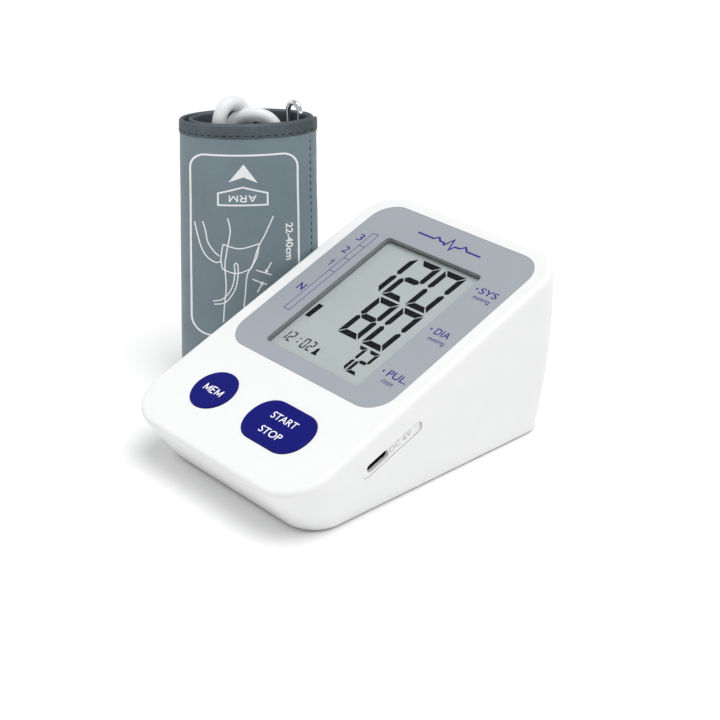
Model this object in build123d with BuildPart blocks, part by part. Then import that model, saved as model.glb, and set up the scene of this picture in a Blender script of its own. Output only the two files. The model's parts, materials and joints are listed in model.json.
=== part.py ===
from build123d import *
import os
from math import atan2, cos, hypot, pi, radians, sin, tan

# Upper arm blood pressure monitor beside its rolled arm cuff, in millimetres.
# X runs across the monitor, Y from its front edge to its back, Z up from the table.
# The origin lies on the table under the centre of the whole set.

# ---------------------------------------------------------------- driving dimensions
MONITOR_X = 21.91  # centre plane of the monitor; the cuff stands on its left
MONITOR_Y = -0.60  # middle of its sloping top
TILT = 20.6  # slope of the top, degrees
SLOPE_LENGTH = 147.0
RIM_HEIGHT = 22.0  # front edge of the slope above the table
RIM_HALF = 50.4  # half width at the slope
RIM_LIP = 1.1  # how far the rim reaches in front of the slope's origin
BASE_HALF = 43.9  # half width at the base
BELLY = 1.5  # how far the sides bulge between the two
BASE_HEIGHT = 1.0  # gap between the case and the table
FRONT_UNDERCUT = 13.3
REAR_UNDERCUT = 0.8
BASE_RADII = (13.0, 11.0)  # front and rear corners at the base
RIM_RADII = (19.0, 15.5)  # front and rear corners at the slope
RIM_FILLET = 2.0
WALL = 2.2
SKIN = 2.5  # thickness of the sloping top

PANEL_SIZE = (87.2, 93.6)
PANEL_MIDDLE = (0.0, 94.4)  # across and up the slope
PANEL_RADIUS = 11.0
PANEL_THICK = 1.9
WINDOW_SIZE = (52.7, 69.3)
WINDOW_MIDDLE = (-0.15, 89.35)
WINDOW_RADIUS = 2.0
LENS_MARGIN = 1.0

MEMORY_MIDDLE = (-22.45, 24.5)
MEMORY_RADIUS = 9.6
START_MIDDLE = (15.5, 24.6)
START_HALF = (16.05, 10.05)
START_END_RADIUS = 12.5
START_CORNER = 9.0
BUTTON_PROUD = 0.5
BUTTON_GAP = 0.2
BUTTON_TRAVEL = 0.5

BOARD_TOP = 9.55  # depths under the slope, square to it
BOARD_THICK = 1.6
BOARD_HALF = 31.5
BOARD_ENDS = (10.0, 136.0)
BOARD_POSTS = [(-29.0, 42.0), (29.0, 42.0), (-29.0, 132.0), (29.0, 132.0)]

CASE_POSTS = [(-38.0, -44.0), (38.0, -44.0), (-37.0, 30.0), (37.0, 30.0)]
POST_RADIUS = 3.2
FEET = [(-34.0, -32.0), (34.0, -32.0), (-35.0, 53.0), (35.0, 53.0)]
FOOT_RADIUS = 4.0
PLATE_THICK = 2.0

CELL_RADIUS = 7.1  # AA cells
CELL_LENGTH = 50.0
CELL_PITCH = 14.6
CELL_HEIGHT = 10.4
BAY_HALF = 29.6
BAY_FRONT, BAY_REAR = 2.4, 58.8
BAY_WALL = 1.4
BAY_TOP = 18.6
DOOR_THICK = 1.6
DOOR_PIN_RADIUS = 0.7

SOCKET_MIDDLE = (-27.9, 23.7)  # Y and Z of the power socket's mouth
SOCKET_SLOT = (11.0, 3.4)
SOCKET_RECESS = (31.0, 5.6)
SOCKET_RECESS_SHIFT = 6.9
JACK_MIDDLE = (-22.0, 18.0)  # Y and Z of the air jack
JACK_BORE_RADIUS = 2.25
JACK_BORE_LENGTH = 10.0
BARB_RADIUS = 1.5
TUBE_RADIUS = 2.4

CUFF_MIDDLE = (-71.2, 12.3)  # from the monitor's centre
CUFF_TURN = 51.9  # the roll's long axis, degrees from X
CUFF_HEIGHT = 113.0
CUFF_HALF = (27.0, 11.3)  # half length and half depth at the top
CUFF_FLARE = 2.5  # how much more each half measures at the foot
CUFF_SHIFT = 2.3  # how far the foot's middle lies along the roll from the top's
SHELL_THICK = 1.7
BLADDER_THICK = 0.9
LINING_THICK = 0.8
LAYER_GAP = 0.05
BINDING_HEIGHT = 5.0
BINDING_PROUD = 0.4

HOSE_RADIUS = 2.8
PLUG_RADIUS = 2.1
PLUG_GRIP_RADIUS = 4.2
RING_WIRE = 1.1
RING_LEG = (20.8, -0.8)  # the sewn-in leg of the D-ring, in the roll's own axes
RING_FREE_LEG = (16.4, 4.0)
RING_ENDS = (5.0, 117.5)

# ---------------------------------------------------------------- shared frames
DEPTH = SLOPE_LENGTH * cos(radians(TILT))
REAR_HEIGHT = RIM_HEIGHT + SLOPE_LENGTH * sin(radians(TILT))
FLOOR = Plane(origin=(MONITOR_X, MONITOR_Y, 0))
SLOPE = Plane(
    origin=(MONITOR_X, MONITOR_Y - DEPTH / 2, RIM_HEIGHT),
    x_dir=(1, 0, 0),
    z_dir=(0, -sin(radians(TILT)), cos(radians(TILT))),
)
CUFF = Plane(
    origin=(MONITOR_X + CUFF_MIDDLE[0], MONITOR_Y + CUFF_MIDDLE[1], 0),
    x_dir=(cos(radians(CUFF_TURN)), sin(radians(CUFF_TURN)), 0),
    z_dir=(0, 0, 1),
)


def across(x, y, z):
    """Plane facing +X at a place given from the monitor's centre, its own X along +Y."""
    return Plane(origin=(MONITOR_X + x, MONITOR_Y + y, z), x_dir=(0, 1, 0), z_dir=(1, 0, 0))


def facing_back(x, y, z):
    """Plane facing +Y at a place given from the monitor's centre, its own X along -X."""
    return Plane(origin=(MONITOR_X + x, MONITOR_Y + y, z), x_dir=(-1, 0, 0), z_dir=(0, 1, 0))


def socket_plane(x):
    """Plane facing +X at the power socket's middle, its own X up the slope."""
    return Plane(
        origin=across(x, *SOCKET_MIDDLE).origin,
        x_dir=(0, cos(radians(TILT)), sin(radians(TILT))),
        z_dir=(1, 0, 0),
    )


def mix(first, last, share):
    return first + (last - first) * share


def case_outline(share, inset=0.0, drop=0.0):
    """Outline of the case, share of the way from its base to its slope."""
    bulge = BELLY * 4 * share * (1 - share)
    front_y = mix(FRONT_UNDERCUT, -RIM_LIP * cos(radians(TILT)), share) - DEPTH / 2
    rear_y = DEPTH / 2 - REAR_UNDERCUT * (1 - share) + bulge
    front_z = mix(BASE_HEIGHT, RIM_HEIGHT - RIM_LIP * sin(radians(TILT)), share)
    rear_z = mix(BASE_HEIGHT, REAR_HEIGHT, share)
    half = mix(BASE_HALF, RIM_HALF, share) + bulge
    lean = atan2(rear_z - front_z, rear_y - front_y)
    length = hypot(rear_z - front_z, rear_y - front_y)
    plane = Plane(
        origin=(MONITOR_X, MONITOR_Y + front_y, front_z),
        x_dir=(1, 0, 0),
        z_dir=(0, -sin(lean), cos(lean)),
    )
    with BuildSketch(plane.offset(-drop)) as outline:
        with Locations((0, length / 2)):
            Rectangle(2 * (half - inset), length - 2 * inset)
        for corners, radii in ((0, (BASE_RADII[0], RIM_RADII[0])), (-1, (BASE_RADII[1], RIM_RADII[1]))):
            fillet(outline.vertices().group_by(Axis.Y)[corners], mix(*radii, share) - inset)
    return outline.sketch.face()


def slope_sketch(depth, middle, size, radius):
    """Rounded rectangle on the slope, depth under its surface."""
    with BuildSketch(SLOPE.offset(-depth)) as outline:
        with Locations(middle):
            RectangleRounded(size[0], size[1], radius)
    return outline.sketch


def disc(plane, radius, places=((0, 0),)):
    with BuildSketch(plane) as outline:
        with Locations(*places):
            Circle(radius)
    return outline.sketch


def start_outline(depth, margin=0.0):
    """Barrel-shaped key: flat front and rear sides between two round ends."""
    half_x, half_y = START_HALF[0] + margin, START_HALF[1] + margin
    with BuildSketch(SLOPE.offset(-depth)) as outline:
        with Locations(START_MIDDLE):
            SlotOverall(2 * half_x, 2 * (START_END_RADIUS + margin))
            Rectangle(2 * half_x, 2 * half_y, mode=Mode.INTERSECT)
        fillet(outline.vertices(), START_CORNER + margin)
    return outline.sketch


def memory_outline(depth, margin=0.0):
    return disc(SLOPE.offset(-depth), MEMORY_RADIUS + margin, [MEMORY_MIDDLE])


def finish(part, name):
    part.part.label = name
    export_step(part.part, f"parts/{name}.step")


os.makedirs("parts", exist_ok=True)

# ---------------------------------------------------------------- upper housing
POST_FOOT = BASE_HEIGHT + PLATE_THICK
JACK_X = -48.8  # outer face of the left side at the jack
SOCKET_X = 49.35  # outer face of the right side at the power socket
SOCKET = socket_plane(SOCKET_X)
JACK_FLANGE = 6.2
JACK_FLANGE_THICK = 1.2
JACK_HOLE = 4.8
RECESS_DEPTH = 0.5
SHARES = (0.0, 0.5, 1.0)

with BuildPart() as cavity:
    loft(
        sections=[
            case_outline(-0.12, WALL),
            case_outline(0.5, WALL),
            case_outline(1.0, WALL, drop=SKIN),
        ]
    )
    extrude(disc(FLOOR.offset(POST_FOOT), POST_RADIUS, CASE_POSTS), amount=REAR_HEIGHT, mode=Mode.SUBTRACT)
    extrude(disc(SLOPE.offset(-BOARD_TOP), 2.6, BOARD_POSTS), amount=BOARD_TOP, mode=Mode.SUBTRACT)

with BuildPart() as upper_housing:
    loft(sections=[case_outline(share) for share in SHARES])
    rim = upper_housing.faces().filter_by(SLOPE).sort_by(Axis.Z)[-1].edges()
    fillet(rim, RIM_FILLET)
    add(cavity.part, mode=Mode.SUBTRACT)
    extrude(
        slope_sketch(0, PANEL_MIDDLE, PANEL_SIZE, PANEL_RADIUS),
        amount=-PANEL_THICK,
        mode=Mode.SUBTRACT,
    )
    lens_hole = [side + 2 * LENS_MARGIN for side in WINDOW_SIZE]
    extrude(
        slope_sketch(0, WINDOW_MIDDLE, lens_hole, WINDOW_RADIUS + LENS_MARGIN),
        amount=-2 * SKIN,
        mode=Mode.SUBTRACT,
    )
    extrude(memory_outline(0, BUTTON_GAP), amount=-2 * SKIN, mode=Mode.SUBTRACT)
    extrude(start_outline(0, BUTTON_GAP), amount=-2 * SKIN, mode=Mode.SUBTRACT)
    # pilot holes for the case screws and the board screws
    extrude(disc(FLOOR.offset(POST_FOOT), 1.0, CASE_POSTS), amount=9, mode=Mode.SUBTRACT)
    extrude(disc(SLOPE.offset(-BOARD_TOP), 0.8, BOARD_POSTS), amount=6, mode=Mode.SUBTRACT)
    # power socket: shallow pill-shaped recess and the slot through the wall
    with BuildSketch(SOCKET.offset(-RECESS_DEPTH)) as recess:
        with Locations((SOCKET_RECESS_SHIFT, 0)):
            SlotOverall(*SOCKET_RECESS)
    extrude(amount=5, mode=Mode.SUBTRACT)
    with BuildSketch(SOCKET.offset(-6)) as slot:
        SlotOverall(*SOCKET_SLOT)
    extrude(amount=10, mode=Mode.SUBTRACT)
    # air jack: flat seat for its flange and a hole for its barrel
    seat = across(JACK_X, *JACK_MIDDLE).offset(JACK_FLANGE_THICK)
    extrude(disc(seat, JACK_FLANGE), amount=-8, mode=Mode.SUBTRACT)
    extrude(disc(seat.offset(-1), JACK_HOLE), amount=6, mode=Mode.SUBTRACT)
finish(upper_housing, "upper_housing")

# ---------------------------------------------------------------- lower housing and door
BAY_OUTER = BAY_HALF + BAY_WALL
BAY_MIDDLE = (BAY_FRONT + BAY_REAR) / 2
BAY_LENGTH = BAY_REAR - BAY_FRONT
DOOR_GAP = 0.3
DOOR_PIN_Z = BASE_HEIGHT + DOOR_THICK / 2
DOOR_PIN_Y = BAY_FRONT + DOOR_GAP + DOOR_THICK / 2
DOOR_PIN_REACH = 1.0  # how far each stub pin stands out of the door
DOOR_PIN_CLEARANCE = 0.08
SCREW_HEAD = 2.4
SCREW_HEAD_DEPTH = 1.2

with BuildPart() as lower_housing:
    extrude(case_outline(0, WALL + 0.15), amount=PLATE_THICK)
    with BuildSketch(FLOOR.offset(BASE_HEIGHT)) as bay:
        with Locations((0, BAY_MIDDLE)):
            Rectangle(2 * BAY_OUTER, BAY_LENGTH + 2 * BAY_WALL)
    extrude(amount=BAY_TOP + BAY_WALL - BASE_HEIGHT)
    with BuildSketch(FLOOR.offset(BASE_HEIGHT)) as bay_inside:
        with Locations((0, BAY_MIDDLE)):
            Rectangle(2 * BAY_HALF, BAY_LENGTH)
    extrude(amount=BAY_TOP - BASE_HEIGHT, mode=Mode.SUBTRACT)
    # sockets for the door's stub pins, in the side walls of the bay
    pin_axis = across(-BAY_HALF - DOOR_PIN_REACH, DOOR_PIN_Y, DOOR_PIN_Z)
    extrude(
        disc(pin_axis, DOOR_PIN_RADIUS + DOOR_PIN_CLEARANCE),
        amount=2 * (BAY_HALF + DOOR_PIN_REACH),
        mode=Mode.SUBTRACT,
    )
    # finger notch behind the door
    with BuildSketch(FLOOR.offset(BASE_HEIGHT)) as notch:
        with Locations((0, BAY_REAR)):
            SlotOverall(16, 3.4)
    extrude(amount=DOOR_THICK, mode=Mode.SUBTRACT)
    # seats for the feet and counterbored holes for the case screws
    extrude(disc(FLOOR.offset(BASE_HEIGHT), FOOT_RADIUS + 0.1, FEET), amount=1, mode=Mode.SUBTRACT)
    extrude(disc(FLOOR.offset(BASE_HEIGHT), 1.4, CASE_POSTS), amount=PLATE_THICK, mode=Mode.SUBTRACT)
    extrude(
        disc(FLOOR.offset(BASE_HEIGHT), SCREW_HEAD + 0.2, CASE_POSTS),
        amount=SCREW_HEAD_DEPTH,
        mode=Mode.SUBTRACT,
    )
finish(lower_housing, "lower_housing")

DOOR_REAR = BAY_REAR - DOOR_GAP
with BuildPart() as battery_door:
    door_length = DOOR_REAR - DOOR_PIN_Y
    with BuildSketch(FLOOR.offset(BASE_HEIGHT)) as door_outline:
        with Locations((0, DOOR_PIN_Y + door_length / 2)):
            Rectangle(2 * (BAY_HALF - DOOR_GAP), door_length)
    extrude(amount=DOOR_THICK)
    # rounded front edge, so that the door turns inside its opening, and the stub pins
    extrude(
        disc(across(-BAY_HALF + DOOR_GAP, DOOR_PIN_Y, DOOR_PIN_Z), DOOR_THICK / 2),
        amount=2 * (BAY_HALF - DOOR_GAP),
    )
    pin_half = BAY_HALF + DOOR_PIN_REACH - 0.15
    extrude(disc(across(-pin_half, DOOR_PIN_Y, DOOR_PIN_Z), DOOR_PIN_RADIUS), amount=2 * pin_half)
    # grip ribs near the latch end
    with BuildSketch(FLOOR.offset(BASE_HEIGHT)) as grip_grooves:
        with Locations((0, DOOR_REAR - 8)):
            with GridLocations(0, 2.4, 1, 4):
                SlotOverall(18, 1.0)
    extrude(amount=0.5, mode=Mode.SUBTRACT)
finish(battery_door, "battery_door")

with BuildPart() as rubber_feet:
    extrude(disc(FLOOR, FOOT_RADIUS, FEET), amount=2)
    fillet(rubber_feet.edges().group_by(Axis.Z)[0], 0.5)
finish(rubber_feet, "rubber_feet")


def screw(plane, places, head, head_height, shank, length):
    """Pan-head screws pointing along the plane's normal, their heads starting on it."""
    with BuildPart() as screws:
        extrude(disc(plane, head, places), amount=head_height)
        extrude(disc(plane, shank, places), amount=head_height + length)
        with BuildSketch(plane) as cross:
            with Locations(*places):
                Rectangle(2.4, 0.5)
                Rectangle(0.5, 2.4)
        extrude(amount=0.6, mode=Mode.SUBTRACT)
    return screws


SCREW_SEAT = FLOOR.offset(BASE_HEIGHT + SCREW_HEAD_DEPTH - 1.0)
case_screws = screw(SCREW_SEAT, CASE_POSTS, SCREW_HEAD, 1.0, 0.95, 8.5)
finish(case_screws, "housing_screws")
BOARD_UNDER = SLOPE.offset(-BOARD_TOP - BOARD_THICK)
board_screws = screw(BOARD_UNDER.offset(-0.9), BOARD_POSTS, 1.8, 0.9, 0.75, 6)
finish(board_screws, "board_screws")

# ---------------------------------------------------------------- display
with BuildPart() as display_panel:
    trimmed = [side - 0.2 for side in PANEL_SIZE]
    extrude(slope_sketch(0, PANEL_MIDDLE, trimmed, PANEL_RADIUS - 0.1), amount=-PANEL_THICK)
    fillet(display_panel.faces().filter_by(SLOPE).sort_by(Axis.Z)[-1].edges(), 0.2)
    extrude(
        slope_sketch(0, WINDOW_MIDDLE, WINDOW_SIZE, WINDOW_RADIUS),
        amount=-PANEL_THICK,
        mode=Mode.SUBTRACT,
    )
finish(display_panel, "display_panel")

LENS_THICK = SKIN - PANEL_THICK
with BuildPart() as lcd_window:
    lens_size = [side + 2 * LENS_MARGIN - 0.2 for side in WINDOW_SIZE]
    extrude(
        slope_sketch(PANEL_THICK, WINDOW_MIDDLE, lens_size, WINDOW_RADIUS + LENS_MARGIN - 0.1),
        amount=-LENS_THICK,
    )
finish(lcd_window, "lcd_window")

CELL_SIZE = (58.6, 75.6)
CELL_TOP = SKIN + 0.1
GLASS = 1.1
CONTACT_LEDGE = 3.2
with BuildPart() as lcd_cell:
    extrude(slope_sketch(CELL_TOP + GLASS, WINDOW_MIDDLE, CELL_SIZE, 0.4), amount=-GLASS)
    front_glass = (CELL_SIZE[0], CELL_SIZE[1] - CONTACT_LEDGE)
    front_middle = (WINDOW_MIDDLE[0], WINDOW_MIDDLE[1] - CONTACT_LEDGE / 2)
    extrude(slope_sketch(CELL_TOP, front_middle, front_glass, 0.4), amount=-GLASS)
finish(lcd_cell, "lcd_cell")

CELL_UNDER = CELL_TOP + 2 * GLASS
with BuildPart() as lcd_reflector:
    backing = (CELL_SIZE[0] - 1, CELL_SIZE[1] - 8)
    extrude(slope_sketch(CELL_UNDER, WINDOW_MIDDLE, backing, 0.4), amount=-0.3)
finish(lcd_reflector, "lcd_reflector")

HOLDER_RIM = 1.6
CONNECTOR_MIDDLE = (WINDOW_MIDDLE[0], WINDOW_MIDDLE[1] + CELL_SIZE[1] / 2 - 1.7)
CONNECTOR_SIZE = (48.0, 1.8)
with BuildPart() as lcd_holder:
    outside = [side + 2 * HOLDER_RIM for side in CELL_SIZE]
    inside = [side - 6 for side in CELL_SIZE]
    pocket = [side + 0.3 for side in CELL_SIZE]
    extrude(slope_sketch(CELL_TOP, WINDOW_MIDDLE, outside, 2), amount=CELL_TOP - BOARD_TOP)
    extrude(slope_sketch(0, WINDOW_MIDDLE, pocket, 0.5), amount=-CELL_UNDER - 0.3, mode=Mode.SUBTRACT)
    extrude(slope_sketch(0, WINDOW_MIDDLE, inside, 2), amount=-BOARD_TOP, mode=Mode.SUBTRACT)
    slot_size = [side + 0.4 for side in CONNECTOR_SIZE]
    extrude(slope_sketch(0, CONNECTOR_MIDDLE, slot_size, 0.3), amount=-BOARD_TOP, mode=Mode.SUBTRACT)
finish(lcd_holder, "lcd_holder")

with BuildPart() as lcd_connector:
    extrude(
        slope_sketch(CELL_UNDER, CONNECTOR_MIDDLE, CONNECTOR_SIZE, 0.3),
        amount=CELL_UNDER - BOARD_TOP,
    )
finish(lcd_connector, "lcd_connector")

# ---------------------------------------------------------------- main board and its pieces
board_length = BOARD_ENDS[1] - BOARD_ENDS[0]
SOCKET_UP_SLOPE = (SOCKET_MIDDLE[0] + DEPTH / 2) * cos(radians(TILT)) + (
    SOCKET_MIDDLE[1] - RIM_HEIGHT
) * sin(radians(TILT))
SOCKET_DEPTH = BOARD_TOP + BOARD_THICK + SOCKET_SLOT[1] / 2
with BuildPart() as main_board:
    with BuildSketch(SLOPE.offset(-BOARD_TOP)) as board_outline:
        with Locations((0, sum(BOARD_ENDS) / 2)):
            Rectangle(2 * BOARD_HALF, board_length)
        with Locations((BOARD_HALF, SOCKET_UP_SLOPE)):
            Rectangle(17, 16)
        fillet(board_outline.vertices(), 1.5)
        with Locations(*BOARD_POSTS):
            Circle(0.9, mode=Mode.SUBTRACT)
    extrude(amount=-BOARD_THICK)
finish(main_board, "main_board")


def on_board(middle, size, height, radius=0.3, gap=0.0):
    """Block on the underside of the board: its place on the slope and its height."""
    with BuildSketch(BOARD_UNDER.offset(-gap)) as outline:
        with Locations(middle):
            RectangleRounded(size[0], size[1], radius)
    extrude(outline.sketch, amount=-height)


CONTROLLER = (6.0, 28.0)
with BuildPart() as controller_chip:
    on_board(CONTROLLER, (12, 12), 1.5, gap=0.1)
    with BuildSketch(BOARD_UNDER) as chip_legs:
        for turn in (0, 90):
            with Locations(Location((*CONTROLLER, 0), (0, 0, turn))):
                with GridLocations(1.0, 12.8, 11, 2):
                    Rectangle(0.4, 2.0)
    extrude(amount=-0.4)
finish(controller_chip, "controller_chip")

with BuildPart() as crystal:
    on_board((18.0, 20.0), (10.5, 4.4), 3.5, radius=2.1)
finish(crystal, "crystal")

with BuildPart() as capacitor:
    extrude(disc(BOARD_UNDER, 4.0, [(-5.0, 58.0)]), amount=-9)
    fillet(capacitor.faces().sort_by(Axis.Z)[0].edges(), 0.6)
finish(capacitor, "capacitor")

BUZZER = (20.0, 50.0)
with BuildPart() as buzzer:
    extrude(disc(BOARD_UNDER, 6.0, [BUZZER]), amount=-5)
    extrude(disc(BOARD_UNDER.offset(-5), 1.0, [BUZZER]), amount=2, mode=Mode.SUBTRACT)
finish(buzzer, "buzzer")

SENSOR = (-18.0, 36.0)
SENSOR_HEIGHT = 5.4
SENSOR_PORT_DEPTH = BOARD_TOP + BOARD_THICK + SENSOR_HEIGHT / 2
SENSOR_HALF = 4.5
BARB_LENGTH = 4.0


def up_slope(x, along, depth):
    """Plane facing up the slope, at a place on it and a depth under it."""
    origin = SLOPE.from_local_coords(Vector(x, along, -depth))
    return Plane(origin=origin, x_dir=(1, 0, 0), z_dir=(0, cos(radians(TILT)), sin(radians(TILT))))


SENSOR_TIP = up_slope(SENSOR[0], SENSOR[1] + SENSOR_HALF + BARB_LENGTH, SENSOR_PORT_DEPTH)
with BuildPart() as pressure_sensor:
    on_board(SENSOR, (10, 2 * SENSOR_HALF), SENSOR_HEIGHT, radius=0.8)
    extrude(disc(SENSOR_TIP, BARB_RADIUS), amount=-BARB_LENGTH - 1)
    extrude(disc(SENSOR_TIP, 0.6), amount=-BARB_LENGTH, mode=Mode.SUBTRACT)
finish(pressure_sensor, "pressure_sensor")

# ---------------------------------------------------------------- keys and their switches
FLANGE_TOP = SKIN + 0.15
FLANGE_THICK = 0.9
SWITCH_TOP = 6.6
SWITCH_PLUNGER_TOP = 5.8
SWITCH_HALF = 3.0
SWITCH_BORE_RADIUS = 1.9
SWITCH_BORE_DEPTH = 1.6


def key(outline):
    """A key: cap through the slope, retaining flange under it and a stem to its switch."""
    with BuildPart() as cap:
        extrude(outline(-BUTTON_PROUD), amount=-BUTTON_PROUD - FLANGE_TOP - FLANGE_THICK)
        fillet(cap.faces().filter_by(SLOPE).sort_by(Axis.Z)[-1].edges(), 0.35)
        extrude(outline(FLANGE_TOP, 1.2), amount=-FLANGE_THICK)
    return cap


def switch(middle):
    with BuildPart() as body:
        with BuildSketch(SLOPE.offset(-BOARD_TOP)) as case:
            with Locations(middle):
                RectangleRounded(2 * SWITCH_HALF, 2 * SWITCH_HALF, 0.4)
        extrude(amount=BOARD_TOP - SWITCH_TOP)
        bore = disc(SLOPE.offset(-SWITCH_TOP), SWITCH_BORE_RADIUS, [middle])
        extrude(bore, amount=-SWITCH_BORE_DEPTH, mode=Mode.SUBTRACT)
    return body


def switch_plunger(middle):
    with BuildPart() as plunger:
        top = SLOPE.offset(-SWITCH_PLUNGER_TOP)
        length = SWITCH_TOP - SWITCH_PLUNGER_TOP + SWITCH_BORE_DEPTH - BUTTON_TRAVEL - 0.15
        extrude(disc(top, SWITCH_BORE_RADIUS - 0.12, [middle]), amount=-length)
    return plunger


for name, middle, outline in (
    ("memory", MEMORY_MIDDLE, memory_outline),
    ("start", START_MIDDLE, start_outline),
):
    cap = key(outline)
    with cap:
        stem = disc(SLOPE.offset(-FLANGE_TOP), 2.6, [middle])
        extrude(stem, amount=FLANGE_TOP - SWITCH_PLUNGER_TOP)
    finish(cap, f"{name}_button")
    finish(switch(middle), f"{name}_switch")
    finish(switch_plunger(middle), f"{name}_switch_plunger")

# ---------------------------------------------------------------- power socket
SOCKET_LENGTH = 9.0
SOCKET_FACE = SOCKET_X - 2.9  # the socket's mouth stands just inside the wall
SOCKET_TONGUE = (6.4, 0.8)
MOUTH = socket_plane(SOCKET_FACE)
with BuildPart() as dc_socket:
    with BuildSketch(MOUTH) as socket_outline:
        SlotOverall(9.2, 3.2)
    extrude(amount=-SOCKET_LENGTH)
    with BuildSketch(MOUTH) as socket_inside:
        SlotOverall(8.6, 2.6)
    extrude(amount=-SOCKET_LENGTH + 1, mode=Mode.SUBTRACT)
finish(dc_socket, "dc_socket")

with BuildPart() as dc_socket_tongue:
    with BuildSketch(MOUTH.offset(-1)) as tongue_outline:
        RectangleRounded(*SOCKET_TONGUE, 0.2)
    extrude(amount=2 - SOCKET_LENGTH)
finish(dc_socket_tongue, "dc_socket_tongue")

# ---------------------------------------------------------------- batteries
CELL_X = [CELL_PITCH * (index - 1.5) for index in range(4)]
CELL_FRONT = BAY_FRONT + 3.2
CELL_NUB = 1.0
SPRING_WIRE = 0.35


def cell_plane(index, y):
    """Plane at one cell's axis, facing its positive end; neighbours lie head to tail."""
    plane = facing_back(CELL_X[index], y, CELL_HEIGHT)
    return plane if index % 2 == 0 else -plane


CELL_BACK = CELL_FRONT + CELL_LENGTH
with BuildPart() as battery_cells:
    for index in range(4):
        tail = CELL_FRONT if index % 2 == 0 else CELL_BACK
        extrude(disc(cell_plane(index, tail), CELL_RADIUS), amount=CELL_LENGTH - CELL_NUB)
        extrude(disc(cell_plane(index, tail), 2.75), amount=CELL_LENGTH)
finish(battery_cells, "battery_cells")

with BuildPart() as battery_plates:
    for index in range(4):
        front = index % 2 == 1
        wall_y = BAY_FRONT if front else BAY_REAR
        plate = facing_back(CELL_X[index], wall_y, CELL_HEIGHT)
        reach = (CELL_FRONT - BAY_FRONT) if front else (CELL_BACK - BAY_REAR)
        with BuildSketch(plate) as contact:
            RectangleRounded(11, 9, 1)
        extrude(amount=0.4 if front else -0.4)
        extrude(disc(plate, 2.0), amount=reach)
finish(battery_plates, "battery_plates")

SPRING_HEIGHT = CELL_FRONT - BAY_FRONT
SPRING_FOOT = 0.4
with BuildPart() as spring:
    extrude(disc(Plane.XY, 4.6), amount=SPRING_FOOT)
    coil_height = SPRING_HEIGHT - SPRING_FOOT - 2 * SPRING_WIRE
    with BuildLine(Plane.XY.offset(SPRING_FOOT + SPRING_WIRE / 2)) as coil:
        Helix(coil_height / 3, coil_height, 3.6, cone_angle=-12)
    with BuildSketch(Plane(origin=coil.line @ 0, z_dir=coil.line % 0)) as wire:
        Circle(SPRING_WIRE)
    sweep(sections=wire.sketch, path=coil.line, is_frenet=True)

with BuildPart() as battery_springs:
    for index in range(4):
        front = index % 2 == 0
        seat = facing_back(CELL_X[index], BAY_FRONT if front else BAY_REAR, CELL_HEIGHT)
        with Locations(seat if front else -seat):
            add(spring.part)
finish(battery_springs, "battery_springs")

# ---------------------------------------------------------------- air pump
BAY_LID = BAY_TOP + BAY_WALL  # the pump and the valve stand on the bay's lid
PUMP_Y, PUMP_Z = 42.0, BAY_LID + 14.5
CAN_RADIUS = 12.0
CAN_ENDS = (-6.0, 24.0)
HEAD_ENDS = (-27.0, -6.0)
HEAD_HALF = 13.0
SHAFT_RADIUS = 1.0
SHAFT_CLEARANCE = 0.04
ROTOR_RADIUS = 8.4


def on_pump(x):
    return across(x, PUMP_Y, PUMP_Z)


def pump_cylinder(radius, ends, mode=Mode.ADD):
    extrude(disc(on_pump(ends[0]), radius), amount=ends[1] - ends[0], mode=mode)


with BuildPart() as pump_motor:
    pump_cylinder(CAN_RADIUS, CAN_ENDS)
    fillet(pump_motor.edges().group_by(Axis.X)[-1], 1.5)
    pump_cylinder(4.0, (CAN_ENDS[1], CAN_ENDS[1] + 2.5))
    pump_cylinder(CAN_RADIUS - 1, (CAN_ENDS[0], CAN_ENDS[1] - 1), Mode.SUBTRACT)
    pump_cylinder(3.0, (CAN_ENDS[1] - 1, CAN_ENDS[1] + 2), Mode.SUBTRACT)
finish(pump_motor, "pump_motor")

with BuildPart() as motor_magnets:
    with BuildSketch(on_pump(-1.0)) as arcs:
        Circle(CAN_RADIUS - 1)
        Circle(ROTOR_RADIUS + 0.6, mode=Mode.SUBTRACT)
        Rectangle(7, 2 * CAN_RADIUS, mode=Mode.SUBTRACT)
    extrude(amount=20)
finish(motor_magnets, "motor_magnets")

BUSH_ENDS = [(-8.0, -5.0), (CAN_ENDS[1] - 1, CAN_ENDS[1] + 2)]
with BuildPart() as motor_bushes:
    for ends in BUSH_ENDS:
        pump_cylinder(3.0, ends)
        pump_cylinder(SHAFT_RADIUS + SHAFT_CLEARANCE, ends, Mode.SUBTRACT)
finish(motor_bushes, "motor_bushes")

with BuildPart() as motor_shaft:
    pump_cylinder(SHAFT_RADIUS, (-19.0, CAN_ENDS[1] + 1.8))
finish(motor_shaft, "motor_shaft")

ROTOR_ENDS = (0.5, 17.5)
with BuildPart() as motor_rotor:
    with BuildSketch(on_pump(ROTOR_ENDS[0])) as poles:
        Circle(ROTOR_RADIUS)
        with PolarLocations((ROTOR_RADIUS + 3.4) / 2, 3):
            Rectangle(ROTOR_RADIUS - 3.4, 3.2, mode=Mode.SUBTRACT)
        Circle(SHAFT_RADIUS, mode=Mode.SUBTRACT)
    extrude(amount=ROTOR_ENDS[1] - ROTOR_ENDS[0])
    pump_cylinder(2.6, (-3.5, ROTOR_ENDS[0]))
    pump_cylinder(SHAFT_RADIUS, (-3.5, ROTOR_ENDS[0]), Mode.SUBTRACT)
finish(motor_rotor, "motor_rotor")

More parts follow.
